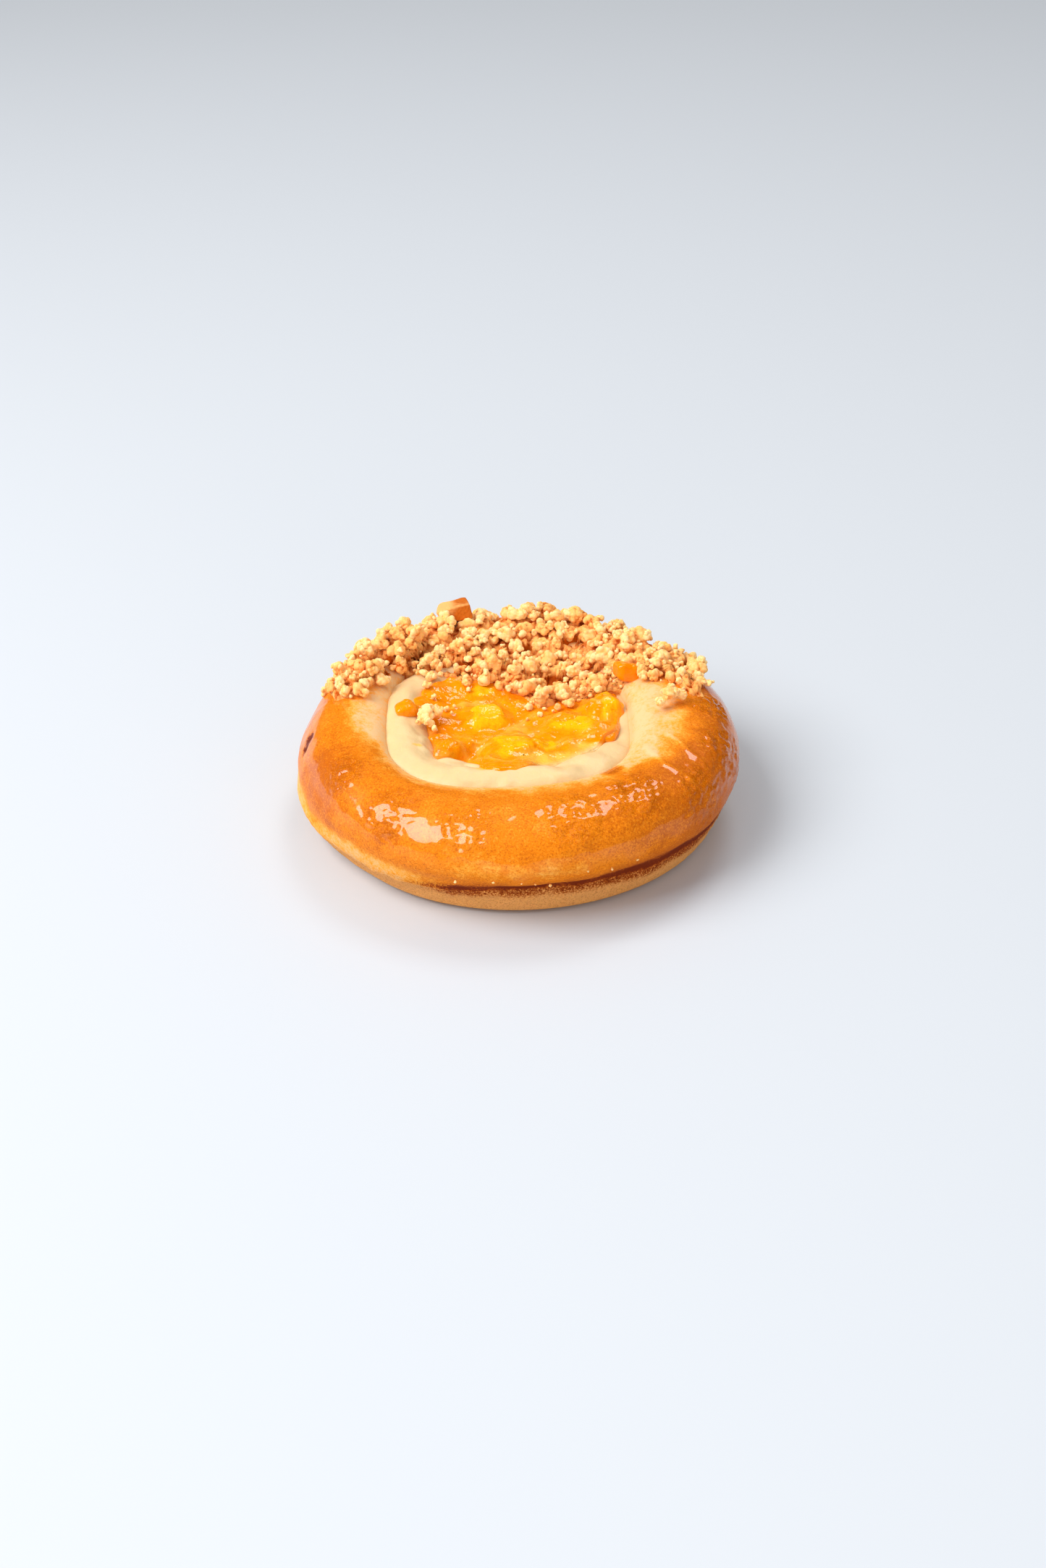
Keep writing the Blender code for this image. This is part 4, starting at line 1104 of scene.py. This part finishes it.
def top_height(x, y, names):
    """Height of the uppermost of some CAD nodes straight below points, or 0 where there is none."""
    best = np.zeros(x.size)
    down = Vector((0, 0, -1))
    for name in names:
        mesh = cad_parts[name].data
        faces = [face.vertices for face in mesh.polygons]
        tree = BVHTree.FromPolygons([vert.co for vert in mesh.vertices], faces)
        for i, (a, b) in enumerate(zip(x.ravel(), y.ravel())):
            point = tree.ray_cast(Vector((a, b, 100.0)) * MM, down)[0]
            if point:
                best[i] = max(best[i], point.z / MM)
    return best.reshape(x.shape)


def blurred(values, times):
    """Values on a grid, each the mean of itself and its neighbours, several times over."""
    for _ in range(times):
        wide = np.pad(values, 1, mode="edge")
        beside = wide[:-2, 1:-1], wide[2:, 1:-1], wide[1:-1, :-2], wide[1:-1, 2:]
        values = sum(beside, wide[1:-1, 1:-1] * 2) / 6
    return values


def ball(detail):
    """Unit directions and triangles of a ball with a level of detail."""
    bm = bmesh.new()
    bmesh.ops.create_icosphere(bm, subdivisions=detail, radius=1.0)
    ways = np.array([vert.co for vert in bm.verts])
    faces = np.array([[vert.index for vert in face.verts] for face in bm.faces])
    bm.free()
    return ways / np.linalg.norm(ways, axis=1)[:, None], faces


def crumb_points(ways, crumbs, rng):
    """Crumbs round their spots, and how deep each point lies in a crease, from 0 to 1.
    Along each direction a crumb reaches as far as the outermost of its lumps: a lump of radius R with its
    centre at c reaches d.c + sqrt(R^2 - c^2 + (d.c)^2) along direction d. Two sizes of knobs stand on it."""
    spots, radii = crumbs[:, :3], crumbs[:, 3]
    count = len(spots)
    centres = rng.normal(size=(count, LUMPS_EACH, 3))
    centres /= np.linalg.norm(centres, axis=2)[..., None]
    size = rng.uniform(*LUMP_SIZES, (count, LUMPS_EACH))
    offset = 1.0 - size
    centres *= offset[..., None]
    along = np.einsum("nk,cgk->cng", ways, centres)
    inside = (size**2 - offset**2)[:, None, :] + along**2
    reach = np.where((inside > 0) & (along > 0), along + np.sqrt(np.maximum(inside, 0)), 0.0).max(axis=2)
    reach = np.maximum(reach, LUMP_BASE)
    stretch = rng.uniform(*CRUMB_STRETCH, (count, 1, 3))
    points = ways[None] * (reach[..., None] * stretch * radii[:, None, None]) + spots[:, None, :]
    coarse = knobs(points, 1.7, 81)
    fine = knobs(points, 0.7, 85)
    share = np.clip(radii / FULL_KNOBS_FROM, 0.3, 1.0)[:, None]
    rise = share * (KNOB_HEIGHT * (coarse - KNOB_MIDDLE) + FINE_KNOB_HEIGHT * (fine - KNOB_MIDDLE))
    crease = 0.65 * (1.0 - coarse) + 0.35 * (1.0 - fine)
    return points + ways[None] * rise[..., None], crease


def make_crumbs(name, crumbs, tints, detail, rng):
    """One piece of separate crumbs, given as places and radii, with a tint for each crumb."""
    ways, faces = ball(detail)
    points, crease = crumb_points(ways, crumbs, rng)
    first = np.arange(len(crumbs)) * len(ways)
    triangles = (faces[None] + first[:, None, None]).reshape(-1, 3)
    # Painted shade darkens the creases between a crumb's knobs
    tint = tints[:, None] + CREASE_SHADE * crease
    return make_object(name, points.reshape(-1, 3), [triangles], {"tint": tint})


def clustered(crumbs, tints, rng):
    """Crumbs with smaller ones stuck on their upper sides, and a tint for each.
    A stuck crumb's centre lies near the large one's surface, in a random direction that isn't far down."""
    out = [crumbs * (1, 1, 1, PACKED_SHARE)]
    out_tints = [tints]
    for _ in range(STUCK_TRIES):
        chosen = rng.random(len(crumbs)) < np.clip((crumbs[:, 3] - STUCK_FROM) / STUCK_SPAN, 0.0, 1.0)
        large = crumbs[chosen]
        way = rng.normal(size=(len(large), 3))
        way[:, 2] = np.abs(way[:, 2]) * 0.9 - 0.25
        way /= np.linalg.norm(way, axis=1)[:, None]
        share = rng.uniform(*STUCK_SIZES, len(large))
        spots = large[:, :3] + way * (large[:, 3] * (1.02 - 0.5 * share))[:, None]
        out.append(np.column_stack([spots, large[:, 3] * share]))
        out_tints.append(tints[chosen] + rng.uniform(-0.2, 0.2, len(large)))
    return np.concatenate(out), np.concatenate(out_tints)


def add_by_size(prefix, crumbs, tints, material, rng):
    """Pieces of crumbs of like sizes, with fewer faces for the smaller ones."""
    for name, low, high, detail in CRUMB_SIZES:
        chosen = (crumbs[:, 3] >= low) & (crumbs[:, 3] < high)
        if chosen.any():
            piece = make_crumbs(f"{prefix}_{name}", crumbs[chosen], tints[chosen], detail, rng)
            finish_piece(piece, material, "streusel")


class Heap:
    """Heights over a grid of cells: what lies under the streusel, the top to reach, and the heap so far."""

    def __init__(self):
        self.xs = np.arange(*CELLS_X, CELL)
        self.ys = np.arange(*CELLS_Y, CELL)
        x, y = np.meshgrid(self.xs, self.ys)
        coarse = slice(None, None, 2)
        under = top_height(x[coarse, coarse], y[coarse, coarse], ("dough", "cream_cheese", "fruit_jam"))
        heap = top_height(x[coarse, coarse], y[coarse, coarse], ("streusel",))
        self.under = self.finer(under, x.shape)
        target = np.maximum(heap, under)
        covered = (heap > 1.0).astype(float)
        self.covered = self.finer(covered, x.shape)
        self.target = self.finer(blurred(target, 3), x.shape)
        self.level = self.under.copy()

    def finer(self, values, shape):
        """Values on every other cell, spread linearly to every cell."""
        rows = np.arange(shape[0]) / 2
        columns = np.arange(shape[1]) / 2
        half = np.array([np.interp(columns, np.arange(values.shape[1]), row) for row in values])
        return np.array([np.interp(rows, np.arange(values.shape[0]), column) for column in half.T]).T

    def cells(self, x, y):
        """Rows and columns of the cells nearest to points."""
        i = np.clip(np.rint((np.asarray(y) - self.ys[0]) / CELL).astype(int), 0, len(self.ys) - 1)
        j = np.clip(np.rint((np.asarray(x) - self.xs[0]) / CELL).astype(int), 0, len(self.xs) - 1)
        return i, j

    def at(self, field, x, y):
        """A field's values at points, from the nearest cell."""
        return field[self.cells(x, y)]

    def distance(self, x, y):
        """Distance of every cell from a point."""
        return np.hypot(self.xs[None, :] - x, self.ys[:, None] - y)

    def window(self, x, y, radius):
        """The cells under a ball, and how high its surface stands over its centre at each."""
        j0, j1 = np.searchsorted(self.xs, (x - radius, x + radius))
        i0, i1 = np.searchsorted(self.ys, (y - radius, y + radius))
        away = (self.xs[None, j0:j1] - x) ** 2 + (self.ys[i0:i1, None] - y) ** 2
        dome = np.sqrt(np.maximum(radius**2 - away, 0.0))
        return (slice(i0, i1), slice(j0, j1)), dome, away < radius**2

    def rest(self, x, y, radius):
        """Height of the heap so far under a ball: the mean over the cells that it covers."""
        cells, _, inside = self.window(x, y, radius)
        return self.level[cells][inside].mean() if inside.any() else 0.0

    def add(self, x, y, z, radius):
        """Raise the heap so far by a ball."""
        cells, dome, inside = self.window(x, y, radius)
        self.level[cells] = np.where(inside, np.maximum(self.level[cells], z + dome), self.level[cells])


def fill_heap(heap, count, radii, over, rng):
    """Drop crumbs one by one, each at the place that lies furthest under the target of several tried."""
    found = []
    rows, columns = np.nonzero(heap.covered > 0.5)
    for _ in range(count):
        radius = rng.uniform(*radii)
        best = None
        for pick in rng.integers(0, len(rows), FILL_TRIES):
            x = heap.xs[columns[pick]] + rng.uniform(-CELL / 2, CELL / 2)
            y = heap.ys[rows[pick]] + rng.uniform(-CELL / 2, CELL / 2)
            z = heap.rest(x, y, radius) + (1.0 - CRUMB_SINK) * radius
            excess = z + radius * CRUMB_TOP - heap.at(heap.target, x, y)
            if best is None or excess < best[0]:
                best = (excess, x, y, z)
        excess, x, y, z = best
        if excess < over:
            found.append((x, y, z, radius))
            heap.add(x, y, z, radius * PACKED_SHARE)
    return found


def heap_edges(turn):
    """Radii of the heap's inner and outer edges at angles in degrees."""
    outer = HEAP_OUTER_RADIUS + lump(np.radians(turn), HEAP_WAVES, HEAP_OUTER_WAVE)
    return np.interp(turn, HEAP_STATIONS, HEAP_INNER_RADII), outer


def core_section(heap):
    """The core's smooth top on a grid, sections across it at angles round the bun, with the dough's height
    under it, how far it is from its edges and how much it lies in a hollow, from 0 to 1.
    Across a section the radius goes from the inner edge to the outer by half a cosine."""
    turns = np.linspace(HEAP_ENDS[0] + CORE_END_GAP, HEAP_ENDS[1] - CORE_END_GAP, CORE_TURNS)
    inner, outer = heap_edges(turns)
    turn = math.pi * np.linspace(0.0, 1.0, CORE_ACROSS)[None, :]
    across = 0.5 - 0.5 * np.cos(turn)
    radius = (inner[:, None] + CORE_INSET) * (1 - across) + (outer[:, None] - CORE_INSET) * across
    x = radius * np.cos(np.radians(turns))[:, None]
    y = radius * np.sin(np.radians(turns))[:, None]
    under = heap.at(blurred(heap.under, 3), x, y)
    depth = np.maximum(heap.at(blurred(heap.target, 4), x, y) - under, 0.0)
    ends = smooth(np.minimum(turns - turns[0], turns[-1] - turns), 0.0, 5.0)[:, None]
    edge = np.sin(turn) ** 0.6 * ends
    hollow, sunk = patch_sum(x, y, HOLLOWS)
    top = np.stack([x, y, under - 1.0 + (1.0 + depth * CORE_SHARE) * edge + sunk], axis=-1)
    return top, under, edge, hollow


def make_core(heap, material):
    """The heap's core: cross-sections at angles round the bun, most of the way up to the target.
    Knobs of three sizes stand out along its normals, and a few hollows are sunk into it.
    Painted shade darkens the core, its creases and the hollows."""
    upper, under, edge, hollow = core_section(heap)
    normal = np.cross(np.gradient(upper, axis=0), np.gradient(upper, axis=1))
    normal /= np.linalg.norm(normal, axis=-1, keepdims=True)
    normal *= np.sign(normal[..., 2:])
    warped = upper + 0.8 * noise(upper, 2.5, 70)[..., None]
    relief, crease = 0.0, 0.0
    for (width, seed, height, share), points in zip(CORE_KNOBS, (warped, warped, upper)):
        knob = knobs(points, width, seed)
        relief = relief + height * (knob - KNOB_MIDDLE)
        crease = crease + share * (1.0 - knob)
    lower = np.stack([upper[..., 0], upper[..., 1], under - CORE_ROOT], axis=-1)[:, ::-12]
    upper = upper + normal * (relief * edge)[..., None]
    grid = np.concatenate([upper, lower], axis=1)[:, ::-1]
    # Painted shade: the core, its creases and its hollows are darkened
    tint = CORE_SHADE + CREASE_SHADE * crease + HOLLOW_SHADE * hollow
    tint = np.concatenate([tint, np.ones(lower.shape[:2])], axis=1)[:, ::-1]
    piece = closed_surface("streusel_core", grid, {"tint": tint})
    finish_piece(piece, material, "streusel", "streusel")
    i, j = heap.cells(upper[..., 0], upper[..., 1])
    np.maximum.at(heap.level, (i.ravel(), j.ravel()), upper[..., 2].ravel())
    for x, y, wide, tall, _ in HOLLOWS:
        heap.covered[heap.distance(x, y) < max(wide, tall) + HOLLOW_MARGIN] = 0.0


def make_streusel(sizes, colours):
    """The heap: its core, then the crumbs seen one by one, then others dropped up to the target's height.
    Crumbs low in the heap are darkened with painted shade, more the deeper they lie."""
    rng = np.random.default_rng(CRUMB_SEED)
    material = crumb_material(colours)
    heap = Heap()
    for x, y, z, radius in MARKED_CRUMBS:
        beside = heap.distance(x, y) < radius + 0.6
        heap.target = np.where(beside, np.minimum(heap.target, z + 0.6 * radius), heap.target)
    heap.target = np.maximum(heap.target, heap.under)
    make_core(heap, material)
    for side, from_x, to_y in BARE_ENDS:
        heap.covered[(heap.ys < to_y)[:, None] & (side * heap.xs > from_x)[None, :]] = 0.0
    found = list(MARKED_CRUMBS)
    for crumb in found:
        heap.add(*crumb)
    for count, radii, over in FILL:
        found += fill_heap(heap, int(count * sizes.crumb_share), radii, over, rng)
    crumbs, tints = clustered(np.array(found), rng.uniform(*HEAP_TINTS, len(found)), rng)
    top = heap.at(blurred(heap.level, 3), crumbs[:, 0], crumbs[:, 1])
    # Painted shade: crumbs under the heap's top are darker, more the deeper they lie
    tints = tints + DEPTH_SHADE * np.clip(top - crumbs[:, 2] - 0.4, 0.0, 4.0)
    ceiling = CAD_BOX[1][2] / MM - CEILING_GAP
    crumbs[:, 2] = np.minimum(crumbs[:, 2], ceiling - crumbs[:, 3] * 1.2)
    add_by_size("streusel", crumbs, tints, material, rng)


def make_clumps(colours):
    """The two clumps of crumbs that lie apart from the heap."""
    rng = np.random.default_rng(CRUMB_SEED + 1)
    material = crumb_material(colours)
    for name, pieces in CLUMPS:
        x, y, radii = np.array(pieces).T
        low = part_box(name)[0][2] / MM
        crumbs = np.column_stack([x, y, low + radii * 0.95 + CLUMP_LIFT, radii])
        crumbs, tints = clustered(crumbs, rng.uniform(*CLUMP_TINTS, len(x)), rng)
        piece = make_crumbs(name.replace("streusel_", "crumb_"), crumbs, tints, CLUMP_DETAIL, rng)
        finish_piece(piece, material, "streusel", name)


def make_specks(colours):
    """Dark specks in the jam, and grains of sugar on the bun's side."""
    rng = np.random.default_rng(CRUMB_SEED + 2)
    x, y, radii = np.array(SPECKS).T
    z = top_height(x, y, ("fruit_jam", "cream_cheese")) + SPECK_LIFT
    specks = np.column_stack([x, y, z, radii])
    piece = make_crumbs("jam_specks", specks, np.ones(len(x)), GRAIN_DETAIL, rng)
    dark = Finish("dark_speck", Roughness=0.5)
    dark.set(Base_Color=dark.mix(dark.noise(dark.place(), 0.3).step(0.3, 0.7), *SPECK_COLOURS))
    finish_piece(piece, dark.material, "fruit_jam")
    sugar = np.column_stack([np.array(SUGAR) * (0.992, 0.992, 1.0), rng.uniform(*SUGAR_RADII, len(SUGAR))])
    piece = make_crumbs("sugar_grains", sugar, np.zeros(len(SUGAR)), GRAIN_DETAIL, rng)
    finish_piece(piece, crumb_material(colours), "streusel")


def add_light(name, spot, size, power, shine):
    """A soft light in metres that faces the bun, with or without a reflection."""
    lamp = bpy.data.lights.new(name, "AREA")
    lamp.shape = "RECTANGLE"
    lamp.size, lamp.size_y = size
    lamp.energy = power
    made = bpy.data.objects.new(name, lamp)
    made.visible_glossy = shine
    made.location = spot
    made.rotation_euler = (Vector(LIGHT_AIM) - Vector(spot)).to_track_quat("-Z", "Y").to_euler()
    bpy.context.scene.collection.objects.link(made)


def make_floor():
    """A wide pale round floor under the bun: rings of one circle, with the innermost filled."""
    turn = np.linspace(0, 2 * math.pi, FLOOR_SIDES, endpoint=False)
    rim = np.stack([np.cos(turn), np.sin(turn), np.zeros(FLOOR_SIDES)], axis=-1) * FLOOR_RADIUS
    rings = np.array([rim * share for share in FLOOR_RINGS])
    index = np.arange(len(FLOOR_RINGS) * FLOOR_SIDES).reshape(-1, FLOOR_SIDES)
    after = np.roll(index, -1, axis=1)
    quads = np.stack([index[:-1], index[1:], after[1:], after[:-1]], axis=-1).reshape(-1, 4)
    floor = make_object("floor", rings.reshape(-1, 3) - (0, 0, FLOOR_DROP), [index[:1], quads])
    finish = Finish("pale_floor", Roughness=0.5, Specular_IOR_Level=0.3)
    finish.set(Base_Color=FLOOR_COLOUR)
    floor.data.materials.append(finish.material)


def make_camera():
    """The camera, at its distance and tilt from the base's centre, turned so that the centre falls on its
    place in the picture, and rolled. A point's place in pixels is its sideways share of its depth times the
    picture's height over the film's height times the lens."""
    tilt, roll = math.radians(CAMERA_TILT), math.radians(CAMERA_ROLL)
    width, height = PICTURE_SIZE
    reach = LENS / FILM_HEIGHT * height
    spot = Vector((0.0, -CAMERA_DISTANCE * math.cos(tilt), CAMERA_DISTANCE * math.sin(tilt)))
    back = -spot.normalized()
    side = Vector((1.0, 0.0, 0.0))
    above = side.cross(back)
    right = math.cos(roll) * side + math.sin(roll) * above
    up = -math.sin(roll) * side + math.cos(roll) * above
    across, down = PICTURE_CENTRE
    aim = back - (across - width / 2) / reach * right + (down - height / 2) / reach * up
    aim.normalize()
    right = (right - right.dot(aim) * aim).normalized()
    up = right.cross(aim)
    lens = bpy.data.cameras.new("camera")
    lens.lens = LENS
    lens.sensor_fit = "VERTICAL"
    lens.sensor_height = FILM_HEIGHT
    camera = bpy.data.objects.new("camera", lens)
    matrix = Matrix((right, up, -aim)).transposed().to_4x4()
    matrix.translation = spot * MM
    camera.matrix_world = matrix
    bpy.context.scene.collection.objects.link(camera)
    bpy.context.scene.camera = camera


def make_stage():
    """The floor, the soft lights and the camera."""
    make_floor()
    make_camera()
    world = bpy.data.worlds.new("studio")
    world.use_nodes = True
    background = world.node_tree.nodes["Background"].inputs
    background["Color"].default_value = (1.0, 1.0, 1.0, 1.0)
    background["Strength"].default_value = WORLD_BRIGHTNESS
    bpy.context.scene.world = world
    world.cycles_visibility.glossy = False
    for light in LIGHTS:
        add_light(*light)
    bpy.context.scene.view_settings.view_transform = "Standard"


class KOLACHE_OT_bun(bpy.types.Operator):
    """Make the glazed bun"""

    bl_idname = "kolache.bun"
    bl_label = "Bun"

    def execute(self, context):
        make_bun(context.scene.kolache_sizes, context.scene.kolache_colours)
        return {"FINISHED"}


class KOLACHE_OT_cream(bpy.types.Operator):
    """Make the cream cheese"""

    bl_idname = "kolache.cream"
    bl_label = "Cream Cheese"

    def execute(self, context):
        make_cream(context.scene.kolache_sizes, context.scene.kolache_colours)
        return {"FINISHED"}


class KOLACHE_OT_jam(bpy.types.Operator):
    """Make the jam"""

    bl_idname = "kolache.jam"
    bl_label = "Jam"

    def execute(self, context):
        make_jam(context.scene.kolache_sizes, context.scene.kolache_colours)
        return {"FINISHED"}


class KOLACHE_OT_fruit(bpy.types.Operator):
    """Make the pieces of fruit"""

    bl_idname = "kolache.fruit"
    bl_label = "Fruit Pieces"

    def execute(self, context):
        make_fruit(context.scene.kolache_colours)
        return {"FINISHED"}


class KOLACHE_OT_streusel(bpy.types.Operator):
    """Make the heap of streusel"""

    bl_idname = "kolache.streusel"
    bl_label = "Streusel"

    def execute(self, context):
        make_streusel(context.scene.kolache_sizes, context.scene.kolache_colours)
        return {"FINISHED"}


class KOLACHE_OT_clumps(bpy.types.Operator):
    """Make the clumps of crumbs that lie apart"""

    bl_idname = "kolache.clumps"
    bl_label = "Loose Clumps"

    def execute(self, context):
        make_clumps(context.scene.kolache_colours)
        return {"FINISHED"}


class KOLACHE_OT_biscuit(bpy.types.Operator):
    """Make the biscuit piece"""

    bl_idname = "kolache.biscuit"
    bl_label = "Biscuit Piece"

    def execute(self, context):
        make_biscuit(context.scene.kolache_colours)
        return {"FINISHED"}


class KOLACHE_OT_specks(bpy.types.Operator):
    """Make the specks in the jam and the grains of sugar on the bun"""

    bl_idname = "kolache.specks"
    bl_label = "Specks and Sugar"

    def execute(self, context):
        make_specks(context.scene.kolache_colours)
        return {"FINISHED"}


class KOLACHE_OT_stage(bpy.types.Operator):
    """Make the floor, the lights and the camera"""

    bl_idname = "kolache.stage"
    bl_label = "Stage"

    def execute(self, context):
        make_stage()
        return {"FINISHED"}


OPERATORS = (
    KOLACHE_OT_bun, KOLACHE_OT_cream, KOLACHE_OT_jam, KOLACHE_OT_fruit,
    KOLACHE_OT_streusel, KOLACHE_OT_clumps, KOLACHE_OT_biscuit,
    KOLACHE_OT_specks, KOLACHE_OT_stage,
)


class KOLACHE_PT_panel(bpy.types.Panel):
    """The kolache's sizes, colours and pieces"""

    bl_label = "Kolache"
    bl_idname = "KOLACHE_PT_panel"
    bl_space_type = "VIEW_3D"
    bl_region_type = "UI"
    bl_category = "Kolache"

    def draw(self, context):
        for group in (context.scene.kolache_sizes, context.scene.kolache_colours):
            for name in group.__annotations__:
                self.layout.prop(group, name)
        for operator in OPERATORS:
            self.layout.operator(operator.bl_idname)


CLASSES = (KolacheSizes, KolacheColours, *OPERATORS, KOLACHE_PT_panel)


def register():
    """Register the classes and put the sizes and colours on the scene."""
    for each in CLASSES:
        bpy.utils.register_class(each)
    bpy.types.Scene.kolache_sizes = bpy.props.PointerProperty(type=KolacheSizes)
    bpy.types.Scene.kolache_colours = bpy.props.PointerProperty(type=KolacheColours)


def unregister():
    """Take the sizes and colours off the scene and unregister the classes."""
    del bpy.types.Scene.kolache_colours
    del bpy.types.Scene.kolache_sizes
    for each in reversed(CLASSES):
        bpy.utils.unregister_class(each)


def main():
    """Make every piece and the stage."""
    register()
    bpy.ops.kolache.bun()
    bpy.ops.kolache.cream()
    bpy.ops.kolache.jam()
    bpy.ops.kolache.fruit()
    bpy.ops.kolache.streusel()
    bpy.ops.kolache.clumps()
    bpy.ops.kolache.biscuit()
    bpy.ops.kolache.specks()
    bpy.ops.kolache.stage()


if __name__ == "__main__":
    main()
